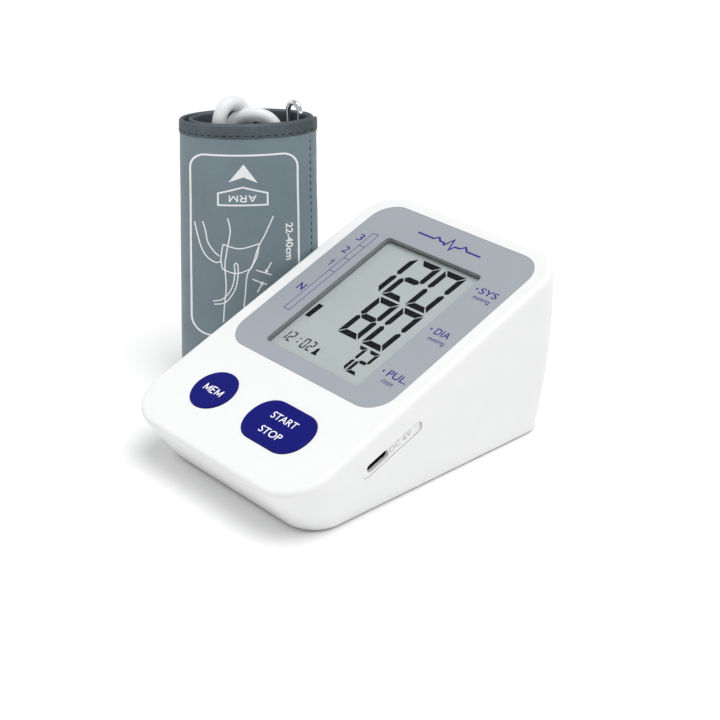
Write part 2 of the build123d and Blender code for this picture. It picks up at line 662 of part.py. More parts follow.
CRANK_ENDS = (-18.0, -12.0)
CRANK_THROW = 1.2
with BuildPart() as pump_crank:
    pump_cylinder(3.2, (-14.0, -12.0))
    with BuildSketch(on_pump(CRANK_ENDS[0])) as throw:
        with Locations((0, CRANK_THROW)):
            Circle(3.0)
    extrude(amount=4)
    pump_cylinder(SHAFT_RADIUS, CRANK_ENDS, Mode.SUBTRACT)
finish(pump_crank, "pump_crank")

OUTLET_X = -18.0
OUTLET_Z = BAY_LID + 7.0  # level with the valve
OUTLET_TIP = PUMP_Y - HEAD_HALF - BARB_LENGTH
with BuildPart() as pump_head:
    with BuildSketch(on_pump(HEAD_ENDS[0])) as head_outline:
        RectangleRounded(2 * HEAD_HALF, 2 * HEAD_HALF, 3)
    extrude(amount=HEAD_ENDS[1] - HEAD_ENDS[0])
    pump_cylinder(9.5, (-22.0, -8.0), Mode.SUBTRACT)
    pump_cylinder(3.0, (-8.0, HEAD_ENDS[1]), Mode.SUBTRACT)
    extrude(disc(facing_back(OUTLET_X, OUTLET_TIP, OUTLET_Z), BARB_RADIUS), amount=BARB_LENGTH)
    extrude(
        disc(facing_back(OUTLET_X, OUTLET_TIP, OUTLET_Z), 0.6),
        amount=BARB_LENGTH,
        mode=Mode.SUBTRACT,
    )
finish(pump_head, "pump_head")

with BuildPart() as pump_diaphragm:
    pump_cylinder(9.4, (-22.0, -20.4))
finish(pump_diaphragm, "pump_diaphragm")

with BuildPart() as pump_cradle:
    with BuildSketch(FLOOR.offset(BAY_LID)) as foam:
        with Locations((9.5, PUMP_Y)):
            RectangleRounded(25, 25, 2)
    extrude(amount=8)
    pump_cylinder(CAN_RADIUS, (-10.0, 30.0), Mode.SUBTRACT)
finish(pump_cradle, "pump_cradle")

# ---------------------------------------------------------------- release valve
VALVE_Y, VALVE_Z = 10.0, OUTLET_Z
VALVE_ENDS = (4.0, 22.0)
VALVE_BORE = 3.0
VALVE_PLUNGER_ENDS = (6.0, 16.0)
VALVE_TRAVEL = 1.0
VALVE_TIP = VALVE_ENDS[0] - BARB_LENGTH
with BuildPart() as valve_body:
    with BuildSketch(across(VALVE_ENDS[0], VALVE_Y, VALVE_Z)) as valve_outline:
        RectangleRounded(14, 14, 1)
    extrude(amount=VALVE_ENDS[1] - VALVE_ENDS[0])
    extrude(disc(across(VALVE_TIP, VALVE_Y, VALVE_Z), BARB_RADIUS), amount=BARB_LENGTH)
    extrude(
        disc(across(VALVE_ENDS[0] + 1.6, VALVE_Y, VALVE_Z), VALVE_BORE),
        amount=15,
        mode=Mode.SUBTRACT,
    )
    extrude(disc(across(VALVE_TIP, VALVE_Y, VALVE_Z), 0.6), amount=8, mode=Mode.SUBTRACT)
finish(valve_body, "valve_body")

with BuildPart() as valve_plunger:
    plunger_length = VALVE_PLUNGER_ENDS[1] - VALVE_PLUNGER_ENDS[0]
    extrude(disc(across(VALVE_PLUNGER_ENDS[0], VALVE_Y, VALVE_Z), VALVE_BORE - 0.1), amount=plunger_length)
    fillet(valve_plunger.edges().group_by(Axis.X)[0], 0.5)
finish(valve_plunger, "valve_plunger")

SPRING_SPACE = VALVE_ENDS[0] + 16.6 - VALVE_PLUNGER_ENDS[1] - VALVE_TRAVEL
VALVE_WIRE = 0.25
with BuildPart() as valve_coil:
    coil_height = SPRING_SPACE - 2 * VALVE_WIRE
    with BuildLine(Plane.XY.offset(VALVE_WIRE)) as coil:
        Helix(coil_height / 4, coil_height, 1.8)
    with BuildSketch(Plane(origin=coil.line @ 0, z_dir=coil.line % 0)) as wire:
        Circle(VALVE_WIRE)
    sweep(sections=wire.sketch, path=coil.line, is_frenet=True)

with BuildPart() as valve_spring:
    with Locations(-across(VALVE_ENDS[0] + 16.6, VALVE_Y, VALVE_Z)):
        add(valve_coil.part)
finish(valve_spring, "valve_spring")

# ---------------------------------------------------------------- tubes and the air jack
CROSS_MIDDLE = (OUTLET_X, VALVE_Y, OUTLET_Z)
CROSS_REACH = 6.0
with BuildPart() as air_cross:
    for turn in (0, 1):
        place = across(*CROSS_MIDDLE) if turn else facing_back(*CROSS_MIDDLE)
        extrude(disc(place, 2.4), amount=2.8, both=True)
        extrude(disc(place, BARB_RADIUS), amount=CROSS_REACH, both=True)
    for turn in (0, 1):
        place = across(*CROSS_MIDDLE) if turn else facing_back(*CROSS_MIDDLE)
        extrude(disc(place, 0.6), amount=CROSS_REACH, both=True, mode=Mode.SUBTRACT)
finish(air_cross, "air_cross")

TUBE_BORE = BARB_RADIUS + 0.02
TUBE_STOP = 3.0  # the cross's shoulder, where each tube ends
FACE_GAP = 0.2


def corner_radii(points):
    """The largest arc that the two runs at each inner point of a route allow."""
    radii = []
    for before, here, after in zip(points, points[1:], points[2:]):
        arriving = Vector(*here) - Vector(*before)
        leaving = Vector(*after) - Vector(*here)
        half_turn = radians(arriving.get_angle(leaving)) / 2
        radii.append(0.45 * min(arriving.length, leaving.length) / tan(half_turn))
    return radii


def route(plane, points):
    """Straight runs joined by tangent arcs through a list of points."""
    with BuildLine(plane) as line:
        if len(points) == 2:
            Line(*points)
        else:
            FilletPolyline(*points, radius=corner_radii(points))
    return line.line


def tube(plane, points, outer, bore=0.0):
    path = route(plane, points)
    with BuildPart() as hose:
        with BuildSketch(Plane(origin=path @ 0, z_dir=path % 0)) as section:
            Circle(outer)
            if bore:
                Circle(bore, mode=Mode.SUBTRACT)
        sweep(sections=section.sketch, path=path)
    return hose


head_face = PUMP_Y - HEAD_HALF - FACE_GAP
pump_route = [(OUTLET_X, VALVE_Y + TUBE_STOP, OUTLET_Z), (OUTLET_X, head_face, OUTLET_Z)]
finish(tube(FLOOR, pump_route, TUBE_RADIUS, TUBE_BORE), "pump_tube")

valve_face = VALVE_ENDS[0] - FACE_GAP
valve_route = [(OUTLET_X + TUBE_STOP, VALVE_Y, OUTLET_Z), (valve_face, VALVE_Y, OUTLET_Z)]
finish(tube(FLOOR, valve_route, TUBE_RADIUS, TUBE_BORE), "valve_tube")

# the sensor's nozzle points up the slope, so its tube bends down to meet it
sensor_end = SENSOR_TIP.offset(FACE_GAP - BARB_LENGTH).origin - FLOOR.origin
bend_y = sensor_end.Y + (OUTLET_Z - sensor_end.Z) / tan(radians(TILT))
sensor_route = [
    (OUTLET_X, VALVE_Y - TUBE_STOP, OUTLET_Z),
    (OUTLET_X, bend_y, OUTLET_Z),
    (OUTLET_X, sensor_end.Y, sensor_end.Z),
]
finish(tube(FLOOR, sensor_route, TUBE_RADIUS, TUBE_BORE), "sensor_tube")

JACK_BODY = 4.6
JACK_END = JACK_X + JACK_BORE_LENGTH + 1.0
with BuildPart() as air_jack:
    extrude(disc(across(JACK_X, *JACK_MIDDLE), JACK_FLANGE - 0.1), amount=JACK_FLANGE_THICK)
    fillet(air_jack.edges().group_by(Axis.X)[0], 0.4)
    extrude(disc(across(JACK_X, *JACK_MIDDLE), JACK_BODY), amount=JACK_BORE_LENGTH + 1.0)
    extrude(disc(across(JACK_END, *JACK_MIDDLE), BARB_RADIUS), amount=BARB_LENGTH)
    extrude(
        disc(across(JACK_X, *JACK_MIDDLE), JACK_BORE_RADIUS),
        amount=JACK_BORE_LENGTH,
        mode=Mode.SUBTRACT,
    )
    extrude(disc(across(JACK_X, *JACK_MIDDLE), 0.6), amount=20, mode=Mode.SUBTRACT)
finish(air_jack, "air_jack")

jack_route = [
    (JACK_END + FACE_GAP, *JACK_MIDDLE),
    (-27.0, *JACK_MIDDLE),
    (-31.0, -6.0, 22.5),
    (-29.5, VALVE_Y, OUTLET_Z),
    (OUTLET_X - TUBE_STOP, VALVE_Y, OUTLET_Z),
]
finish(tube(FLOOR, jack_route, TUBE_RADIUS, TUBE_BORE), "jack_tube")

# ---------------------------------------------------------------- cuff roll
BODY_ENDS = (BINDING_HEIGHT, CUFF_HEIGHT - BINDING_HEIGHT)


def oval(z, margin):
    """Oval across the roll at a height, its outline moved out by margin."""
    share = 1 - z / CUFF_HEIGHT
    halves = [half + CUFF_FLARE * share + margin for half in CUFF_HALF]
    with BuildSketch(CUFF.offset(z)) as outline:
        with Locations((-CUFF_SHIFT * share, 0)):
            Ellipse(*halves)
    return outline.sketch


def wrap(margin, thickness, ends):
    """One layer of the roll, as a tapered sleeve."""
    with BuildPart() as sleeve:
        loft(sections=[oval(z, margin) for z in ends])
        loft(sections=[oval(z, margin - thickness) for z in ends], mode=Mode.SUBTRACT)
    return sleeve


BLADDER_MARGIN = -SHELL_THICK - LAYER_GAP
LINING_MARGIN = BLADDER_MARGIN - BLADDER_THICK - LAYER_GAP
HOLLOW_MARGIN = LINING_MARGIN - LINING_THICK
BINDING_WALL = BINDING_PROUD - HOLLOW_MARGIN + 0.2
finish(wrap(0, SHELL_THICK, BODY_ENDS), "cuff_shell")
finish(wrap(BLADDER_MARGIN, BLADDER_THICK, BODY_ENDS), "bladder")
finish(wrap(BINDING_PROUD, BINDING_WALL, (BODY_ENDS[1], CUFF_HEIGHT)), "top_binding")
finish(wrap(BINDING_PROUD, BINDING_WALL, (0, BODY_ENDS[0])), "bottom_binding")

# the hose port stands on the bladder and comes through a hole in the lining
PORT = (-11.5, -4.2)
PORT_ENDS = (22.0, 32.0)
PORT_RADIUS = 3.4
PORT_STUB_RADIUS = 2.6
PORT_STUB_Z = 26.5
PORT_STUB_LENGTH = 4.9  # up to the bladder
port_axis = CUFF.from_local_coords(Vector(PORT[0], PORT[1], PORT_STUB_Z))
STUB = Plane(origin=port_axis, x_dir=CUFF.x_dir, z_dir=-CUFF.y_dir)

cuff_lining = wrap(LINING_MARGIN, LINING_THICK, BODY_ENDS)
with cuff_lining:
    extrude(disc(STUB, PORT_STUB_RADIUS + 0.2), amount=CUFF_HALF[0], mode=Mode.SUBTRACT)
finish(cuff_lining, "cuff_lining")

with BuildPart() as hose_port:
    extrude(disc(CUFF.offset(PORT_ENDS[0]), PORT_RADIUS, [PORT]), amount=PORT_ENDS[1] - PORT_ENDS[0])
    fillet(hose_port.edges().group_by(Axis.Z)[0], 1.0)
    extrude(disc(STUB, PORT_STUB_RADIUS), amount=PORT_STUB_LENGTH)
finish(hose_port, "hose_port")


def patch(margin, thickness, ends, middle, width):
    """Touch-fastener patch lying on the back half of a tapered wall."""
    piece = wrap(margin, thickness, ends)
    with piece:
        with BuildSketch(CUFF.offset(ends[0])) as keep:
            with Locations((middle, CUFF_HALF[0])):
                Rectangle(width, 2 * CUFF_HALF[0])
        extrude(keep.sketch, amount=ends[1] - ends[0], mode=Mode.INTERSECT)
    return piece


PATCH_THICK = 0.6
finish(patch(PATCH_THICK, PATCH_THICK, (14.0, 100.0), 0.0, 36.0), "loop_patch")
finish(patch(HOLLOW_MARGIN, PATCH_THICK, (24.0, 96.0), -13.0, 10.0), "hook_patch")

# ---------------------------------------------------------------- D-ring and its sleeve
ring_width = hypot(RING_FREE_LEG[0] - RING_LEG[0], RING_FREE_LEG[1] - RING_LEG[1])
ring_axis = CUFF.from_local_coords(Vector(*RING_LEG, 0))
ring_reach = CUFF.from_local_coords(Vector(*RING_FREE_LEG, 0)) - ring_axis
RING = Plane(origin=ring_axis, x_dir=ring_reach, z_dir=ring_reach.cross(Vector(0, 0, 1)))
bend = ring_width / 2
ring_low, ring_high = RING_ENDS[0] + bend, RING_ENDS[1] - bend
with BuildPart() as d_ring:
    with BuildLine(RING) as wire_path:
        Line((0, ring_low), (0, ring_high))
        ThreePointArc((0, ring_high), (bend, RING_ENDS[1]), (ring_width, ring_high))
        Line((ring_width, ring_high), (ring_width, ring_low))
        ThreePointArc((ring_width, ring_low), (bend, RING_ENDS[0]), (0, ring_low))
    with BuildSketch(Plane(origin=wire_path.line @ 0, z_dir=wire_path.line % 0)) as wire:
        Circle(RING_WIRE)
    sweep(sections=wire.sketch, path=wire_path.line)
finish(d_ring, "d_ring")

SLEEVE_ENDS = (14.0, 102.0)
SLEEVE_RADIUS = RING_WIRE + 0.9
sleeve_room = [half + HOLLOW_MARGIN - LAYER_GAP for half in CUFF_HALF]
with BuildPart() as ring_sleeve:
    with BuildSketch(CUFF.offset(SLEEVE_ENDS[0])) as sleeve_outline:
        with Locations(RING_LEG):
            Circle(SLEEVE_RADIUS)
        Polygon(RING_LEG, (CUFF_HALF[0], 0.1), (CUFF_HALF[0], -1.7), align=None)
        Ellipse(*sleeve_room, mode=Mode.INTERSECT)
        with Locations(RING_LEG):
            Circle(RING_WIRE + 0.15, mode=Mode.SUBTRACT)
    extrude(amount=SLEEVE_ENDS[1] - SLEEVE_ENDS[0])
finish(ring_sleeve, "ring_sleeve")

# ---------------------------------------------------------------- air hose and its plug
# Across the roll, towards its back and up: out of the port, over the first loop, under,
# over the second loop, under again and up to the plug.
HOSE_ROUTE = [
    (-11.5, -4.2, 32.0),
    (-11.5, -4.2, 54.0),
    (-11.6, -3.8, 94.0),
    (-11.4, -3.5, 118.3),
    (-0.8, 4.5, 118.3),
    (-0.4, 4.8, 95.0),
    (3.0, 5.4, 52.0),
    (7.5, 5.2, 25.0),
    (7.8, 4.9, 6.6),
    (-14.0, 3.4, 6.6),
    (-13.6, 3.4, 28.0),
    (-10.6, 2.8, 66.0),
    (-7.6, 2.4, 92.0),
    (-7.0, 2.2, 113.4),
    (12.2, -1.2, 113.4),
    (12.4, -1.5, 90.0),
    (12.8, -1.7, 48.0),
    (13.2, -1.8, 26.0),
    (13.3, -2.0, 6.6),
    (-2.6, -4.9, 6.6),
    (-2.2, -4.8, 27.0),
    (2.3, -3.4, 56.0),
    (2.3, -3.4, 76.5),
]
air_hose = tube(CUFF, HOSE_ROUTE, HOSE_RADIUS)
finish(air_hose, "air_hose")
hose_length = sum(edge.length for edge in route(CUFF, HOSE_ROUTE).edges())
hose_section = pi * HOSE_RADIUS**2
print("hose length", round(hose_length, 1))
print("hose volume over section x length", round(air_hose.part.volume / (hose_section * hose_length), 4))
print("hose radii", [round(radius, 1) for radius in corner_radii(HOSE_ROUTE)])

PLUG = CUFF.offset(HOSE_ROUTE[-1][2])
PLUG_PLACE = [HOSE_ROUTE[-1][:2]]
GRIP_LENGTH = 22.0
NOZZLE_LENGTH = 10.0
with BuildPart() as air_plug:
    extrude(disc(PLUG, PLUG_GRIP_RADIUS, PLUG_PLACE), amount=GRIP_LENGTH)
    chamfer(air_plug.edges().group_by(Axis.Z)[0], 1.2)
    fillet(air_plug.edges().group_by(Axis.Z)[-1], 0.8)
    for rib in range(5):
        with BuildSketch(PLUG.offset(6 + 2.6 * rib)) as groove:
            with Locations(*PLUG_PLACE):
                Circle(PLUG_GRIP_RADIUS + 1)
                Circle(PLUG_GRIP_RADIUS - 0.4, mode=Mode.SUBTRACT)
        extrude(amount=1.0, mode=Mode.SUBTRACT)
    extrude(disc(PLUG.offset(GRIP_LENGTH), PLUG_RADIUS, PLUG_PLACE), amount=NOZZLE_LENGTH)
    extrude(
        disc(PLUG.offset(GRIP_LENGTH + NOZZLE_LENGTH), 1.0, PLUG_PLACE),
        amount=-NOZZLE_LENGTH - 8,
        mode=Mode.SUBTRACT,
    )
finish(air_plug, "air_plug")
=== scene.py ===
"""Looks of an upper arm blood pressure monitor and its rolled cuff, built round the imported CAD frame."""
import json
from math import atan2, cos, degrees, hypot, pi, radians, sin, sqrt

import bmesh
import bpy
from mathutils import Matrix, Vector, noise


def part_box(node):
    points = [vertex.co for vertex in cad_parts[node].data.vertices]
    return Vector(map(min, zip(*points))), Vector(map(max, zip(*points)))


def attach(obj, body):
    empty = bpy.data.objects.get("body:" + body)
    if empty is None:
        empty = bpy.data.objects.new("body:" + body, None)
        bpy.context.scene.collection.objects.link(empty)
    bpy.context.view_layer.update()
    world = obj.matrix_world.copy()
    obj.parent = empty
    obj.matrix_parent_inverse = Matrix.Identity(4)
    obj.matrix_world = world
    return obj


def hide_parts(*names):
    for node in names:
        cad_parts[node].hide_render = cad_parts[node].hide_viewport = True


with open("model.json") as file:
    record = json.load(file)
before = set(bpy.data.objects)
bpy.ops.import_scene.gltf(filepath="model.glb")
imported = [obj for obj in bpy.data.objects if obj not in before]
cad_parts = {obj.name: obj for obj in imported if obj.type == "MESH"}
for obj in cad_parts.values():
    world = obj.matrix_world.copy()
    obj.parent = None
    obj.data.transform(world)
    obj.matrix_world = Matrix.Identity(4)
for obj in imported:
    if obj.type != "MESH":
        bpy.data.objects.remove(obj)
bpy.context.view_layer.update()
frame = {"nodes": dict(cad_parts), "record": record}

MM = 0.001
NODES = frame["nodes"]

# ---------------------------------------------------------------- camera
YAW, PITCH = radians(47.78), radians(27.03)
CAMERA_PLACE = (0.43352, -0.36630, 0.31707)


def make_camera():
    data = bpy.data.cameras.new("camera")
    data.lens, data.sensor_width = 80.85, 36
    camera = bpy.data.objects.new("camera", data)
    bpy.context.scene.collection.objects.link(camera)
    camera.location = CAMERA_PLACE
    back = Vector((sin(YAW) * cos(PITCH), -cos(YAW) * cos(PITCH), sin(PITCH)))
    camera.rotation_mode = "QUATERNION"
    camera.rotation_quaternion = (-back).to_track_quat("-Z", "Y")
    bpy.context.scene.camera = camera


make_camera()

# ---------------------------------------------------------------- frames, in millimetres
TILT = radians(20.6)
PANEL_LOW_EDGE = 47.7  # the panel's front edge, up the slope from its origin
CUFF_MIDDLE = (-71.2, 12.3)  # from the monitor's centre
CUFF_TURN = radians(51.9)
CUFF_HEIGHT = 113.0
CUFF_HALF = (27.0, 11.3)
CUFF_FLARE, CUFF_SHIFT = 2.5, 2.3

SLOPE_X = Vector((1, 0, 0))
SLOPE_UP = Vector((0, cos(TILT), sin(TILT)))
SLOPE_OUT = Vector((0, -sin(TILT), cos(TILT)))


def slope_origin():
    """Where the slope's own axes cross, read from the panel's mesh."""
    corners = [vertex.co for vertex in NODES["display_panel"].data.vertices]
    middle_x = (max(c.x for c in corners) + min(c.x for c in corners)) / 2
    out = max(c.dot(SLOPE_OUT) for c in corners)
    up = min(c.dot(SLOPE_UP) for c in corners) - PANEL_LOW_EDGE * MM
    return SLOPE_X * middle_x + SLOPE_UP * up + SLOPE_OUT * out


SLOPE_ORIGIN = slope_origin()
MONITOR_X = SLOPE_ORIGIN.x / MM
MONITOR_Y = SLOPE_ORIGIN.y / MM + 147.0 * cos(TILT) / 2


def on_slope(x, up, out=0.0):
    """Place on the sloping top: across, up it and out of it."""
    return SLOPE_ORIGIN + (SLOPE_X * x + SLOPE_UP * up + SLOPE_OUT * out) * MM


def in_cuff(u, w, z):
    """Place in the roll's own axes: along it, across it and up."""
    x = MONITOR_X + CUFF_MIDDLE[0] + u * cos(CUFF_TURN) - w * sin(CUFF_TURN)
    y = MONITOR_Y + CUFF_MIDDLE[1] + u * sin(CUFF_TURN) + w * cos(CUFF_TURN)
    return Vector((x, y, z)) * MM


def on_roll(angle, z, margin=0.0):
    """Place on the tapered oval wall of the roll; -90 degrees is the middle of its front."""
    share = 1 - z / CUFF_HEIGHT
    along = CUFF_HALF[0] + CUFF_FLARE * share + margin
    across = CUFF_HALF[1] + CUFF_FLARE * share + margin
    return in_cuff(-CUFF_SHIFT * share + along * cos(angle), across * sin(angle), z)


# ---------------------------------------------------------------- the air hose comes first
HOSE_DIAMETER = 5.6
HOSE_ROUTE = [
    (-11.5, -4.2, 32.0),
    (-11.5, -4.2, 54.0),
    (-11.6, -3.8, 94.0),
    (-11.4, -3.5, 118.3),
    (-0.8, 4.5, 118.3),
    (-0.4, 4.8, 95.0),
    (3.0, 5.4, 52.0),
    (7.5, 5.2, 25.0),
    (7.8, 4.9, 6.6),
    (-14.0, 3.4, 6.6),
    (-13.6, 3.4, 28.0),
    (-10.6, 2.8, 66.0),
    (-7.6, 2.4, 92.0),
    (-7.0, 2.2, 113.4),
    (12.2, -1.2, 113.4),
    (12.4, -1.5, 90.0),
    (12.8, -1.7, 48.0),
    (13.2, -1.8, 26.0),
    (13.3, -2.0, 6.6),
    (-2.6, -4.9, 6.6),
    (-2.2, -4.8, 27.0),
    (2.3, -3.4, 56.0),
    (2.3, -3.4, 76.5),
]


def make_hose():
    curve = bpy.data.curves.new("hose", "CURVE")
    curve.dimensions = "3D"
    spline = curve.splines.new("NURBS")
    spline.points.add(len(HOSE_ROUTE) - 1)
    for point, place in zip(spline.points, HOSE_ROUTE):
        point.co = (*in_cuff(*place), 1)
    spline.order_u = 3
    spline.use_endpoint_u = True
    spline.resolution_u = 24
    curve.bevel_depth = HOSE_DIAMETER / 2 * MM
    curve.bevel_resolution = 10
    curve.use_fill_caps = True
    hose = bpy.data.objects.new("hose", curve)
    bpy.context.scene.collection.objects.link(hose)
    return hose


hose = make_hose()


# ---------------------------------------------------------------- materials
class Nodes:
    """A material being built: a Principled shader and short calls for what feeds it."""

    def __init__(self, name, color, roughness, **sockets):
        self.material = bpy.data.materials.new(name)
        self.material.use_nodes = True
        self.tree = self.material.node_tree
        self.shader = self.tree.nodes["Principled BSDF"]
        self.color = (*color, 1)
        self.shader.inputs["Base Color"].default_value = self.color
        self.shader.inputs["Roughness"].default_value = roughness
        for socket, value in sockets.items():
            self.shader.inputs[socket.replace("_", " ")].default_value = value

    def node(self, kind, **values):
        made = self.tree.nodes.new(kind)
        for key, value in values.items():
            if hasattr(made, key):
                setattr(made, key, value)
            else:
                made.inputs[key].default_value = value
        return made

    def link(self, out, into):
        self.tree.links.new(out, into)

    def coordinates(self, stretch=(1, 1, 1), source="Object"):
        place = self.node("ShaderNodeTexCoord")
        mapping = self.node("ShaderNodeMapping")
        mapping.inputs["Scale"].default_value = stretch
        self.link(place.outputs[source], mapping.inputs["Vector"])
        return mapping.outputs["Vector"]

    def noise(self, size_mm, detail=2.0, stretch=(1, 1, 1)):
        texture = self.node("ShaderNodeTexNoise", Scale=1 / (size_mm * MM), Detail=detail)
        self.link(self.coordinates(stretch), texture.inputs["Vector"])
        return texture.outputs["Fac"]

    def ramp(self, value, low, high, start=0.3, end=0.7):
        """value spread from low to high between two of its levels."""
        spread = self.node("ShaderNodeMapRange")
        spread.inputs["From Min"].default_value = start
        spread.inputs["From Max"].default_value = end
        spread.inputs["To Min"].default_value = low
        spread.inputs["To Max"].default_value = high
        self.link(value, spread.inputs["Value"])
        return spread.outputs["Result"]

    def tint(self, value, amount, start=0.3, end=0.7):
        """Base colour made lighter and darker by a share, following value."""
        factor = self.ramp(value, 1 - amount, 1 + amount, start, end)
        scaled = self.node("ShaderNodeVectorMath", operation="SCALE")
        before = self.shader.inputs["Base Color"]
        if before.links:
            self.link(before.links[0].from_socket, scaled.inputs[0])
        else:
            scaled.inputs[0].default_value = self.color[:3]
        self.link(factor, scaled.inputs["Scale"])
        self.link(scaled.outputs[0], before)

    def mix(self, value, other):
        """Base colour turned into another one where value is 1."""
        blend = self.node("ShaderNodeMix", data_type="RGBA")
        before = self.shader.inputs["Base Color"]
        if before.links:
            self.link(before.links[0].from_socket, blend.inputs["A"])
        else:
            blend.inputs["A"].default_value = self.color
        blend.inputs["B"].default_value = (*other, 1)
        self.link(value, blend.inputs["Factor"])
        self.link(blend.outputs["Result"], before)

    def rough(self, value, low, high):
        self.link(self.ramp(value, low, high), self.shader.inputs["Roughness"])

    def bump(self, value, height_mm, strength=1.0):
        made = self.node("ShaderNodeBump", Strength=strength, Distance=height_mm * MM)
        self.link(value, made.inputs["Height"])
        if self.shader.inputs["Normal"].links:
            self.link(self.shader.inputs["Normal"].links[0].from_socket, made.inputs["Normal"])
        self.link(made.outputs["Normal"], self.shader.inputs["Normal"])

    def wave(self, size_mm, direction, stretch=(1, 1, 1), source="Object"):
        """Bands of a period, across one axis of the coordinates."""
        texture = self.node("ShaderNodeTexWave", Scale=pi / (10 * size_mm * MM), bands_direction=direction)
        self.link(self.coordinates(stretch, source), texture.inputs["Vector"])
        return texture.outputs["Fac"]

    def math(self, operation, *values):
        made = self.node("ShaderNodeMath", operation=operation)
        for socket, value in zip(made.inputs, values):
            if isinstance(value, (int, float)):
                socket.default_value = value
            else:
                self.link(value, socket)
        return made.outputs[0]


def plastic(name, color, roughness, grain=0.35, depth=0.006, mottle=0.02, **sockets):
    """Moulded plastic: fine spark texture, faint flow marks and uneven gloss."""
    made = Nodes(name, color, roughness, **sockets)
    made.tint(made.noise(9.0, 3), mottle)
    made.rough(made.noise(5.0, 3), roughness - 0.05, roughness + 0.06)
    made.bump(made.noise(grain, 2), depth)
    return made.material


def metal(name, color, roughness, stretch=(1, 1, 1), size=0.5, spots=0.06):
    """Drawn or turned metal with fine marks along it."""
    made = Nodes(name, color, roughness, Metallic=1.0)
    made.tint(made.noise(6.0, 4), spots)
    marks = made.noise(size, 3, stretch)
    made.rough(marks, max(0.02, roughness - 0.07), roughness + 0.1)
    made.bump(marks, 0.004)
    return made.material


def rubber(name, color, roughness, mottle=0.05, **sockets):
    made = Nodes(name, color, roughness, **sockets)
    made.tint(made.noise(7.0, 4), mottle)
    made.rough(made.noise(2.0, 4), roughness - 0.07, roughness + 0.08)
    made.bump(made.noise(0.25, 3), 0.012)
    return made.material


def cloth(name, color, thread=0.42, depth=0.05, mottle=0.06, sheen=0.25):
    """Plain-woven nylon: threads over and under, laid along the piece's own UV in metres."""
    made = Nodes(name, color, 0.62, Sheen_Weight=sheen, Sheen_Roughness=0.4)
    warp = made.wave(thread, "X", source="UV")
    weft = made.wave(thread, "Y", source="UV")
    weave = made.math("ADD", made.math("MULTIPLY", warp, 0.5), made.math("MULTIPLY", weft, 0.5))
    made.tint(weave, mottle * 0.9, 0.1, 0.9)
    made.tint(made.noise(16.0, 3), mottle)
    made.tint(made.noise(0.9, 3), mottle * 0.6)
    made.bump(weave, depth)
    made.bump(made.noise(7.0, 3), 0.25, 0.5)
    return made.material


def velour(name, color):
    """Looped fastener cloth: deep random pile."""
    made = Nodes(name, color, 0.9, Sheen_Weight=0.6, Sheen_Roughness=0.5)
    pile = made.noise(0.5, 5)
    made.tint(pile, 0.25)
    made.tint(made.noise(6.0, 3), 0.08)
    made.bump(pile, 0.25)
    return made.material


def printed(name, color, roughness, mottle=0.03, gloss=0.15):
    """Printed ink: very thin, a little uneven."""
    made = Nodes(name, color, roughness, Specular_IOR_Level=gloss)
    made.tint(made.noise(1.2, 3), mottle)
    made.rough(made.noise(0.8, 2), roughness - 0.05, roughness + 0.07)
    return made.material


WHITE, INK_BLUE = (0.865, 0.868, 0.872), (0.030, 0.025, 0.24)


def lcd_glass():
    """Grey-green display cell: even, with a faint grain from its polariser."""
    made = Nodes("lcd", (0.435, 0.490, 0.488), 0.32, Specular_IOR_Level=0.15)
    made.tint(made.noise(26.0, 2), 0.02)
    made.tint(made.noise(0.12, 2), 0.02)
    return made.material


def clear_window():
    made = Nodes("window", (0.5, 0.52, 0.52), 0.04, Alpha=0.012, IOR=1.45, Specular_IOR_Level=0.2)
    made.rough(made.noise(8.0, 3), 0.03, 0.07)
    return made.material


def board_green():
    """Solder mask over copper tracks."""
    made = Nodes("board", (0.012, 0.13, 0.055), 0.35, Coat_Weight=0.3)
    tracks = made.node("ShaderNodeTexVoronoi", feature="DISTANCE_TO_EDGE", Scale=1 / (3.2 * MM))
    made.link(made.coordinates(), tracks.inputs["Vector"])
    lines = made.ramp(tracks.outputs["Distance"], 1, 0, 0.03, 0.06)
    made.mix(lines, (0.02, 0.22, 0.08))
    made.bump(lines, 0.03)
    made.rough(made.noise(2.0), 0.3, 0.42)
    return made.material


def cell_sleeve():
    """Dry cell: plain dark sleeve with a pale band."""
    made = Nodes("battery", (0.03, 0.04, 0.07), 0.3, Coat_Weight=0.4)
    place = made.coordinates()
    split = made.node("ShaderNodeSeparateXYZ")
    made.link(place, split.inputs[0])
    low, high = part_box("battery_cells")
    up = made.ramp(split.outputs["Y"], 0, 1, low.y, high.y)
    band = made.math("COMPARE", up, 0.72, 0.11)
    made.mix(band, (0.62, 0.45, 0.16))
    made.tint(made.noise(4.0, 3), 0.06)
    made.rough(made.noise(3.0, 3), 0.24, 0.38)
    return made.material


def winding():
    """Laminated poles with enamelled wire between them."""
    made = Nodes("winding", (0.36, 0.15, 0.06), 0.35, Metallic=0.8)
    turns = made.wave(0.4, "X")
    made.tint(turns, 0.3, 0.0, 1.0)
    made.tint(made.noise(1.0, 3), 0.1)
    made.bump(turns, 0.08)
    return made.material


def banded_rubber():
    """Connector strip: conductive layers side by side."""
    made = Nodes("zebra", (0.55, 0.30, 0.26), 0.6)
    bands = made.wave(0.5, "X")
    made.mix(made.ramp(bands, 0, 1, 0.4, 0.6), (0.05, 0.05, 0.05))
    made.bump(bands, 0.01)
    return made.material


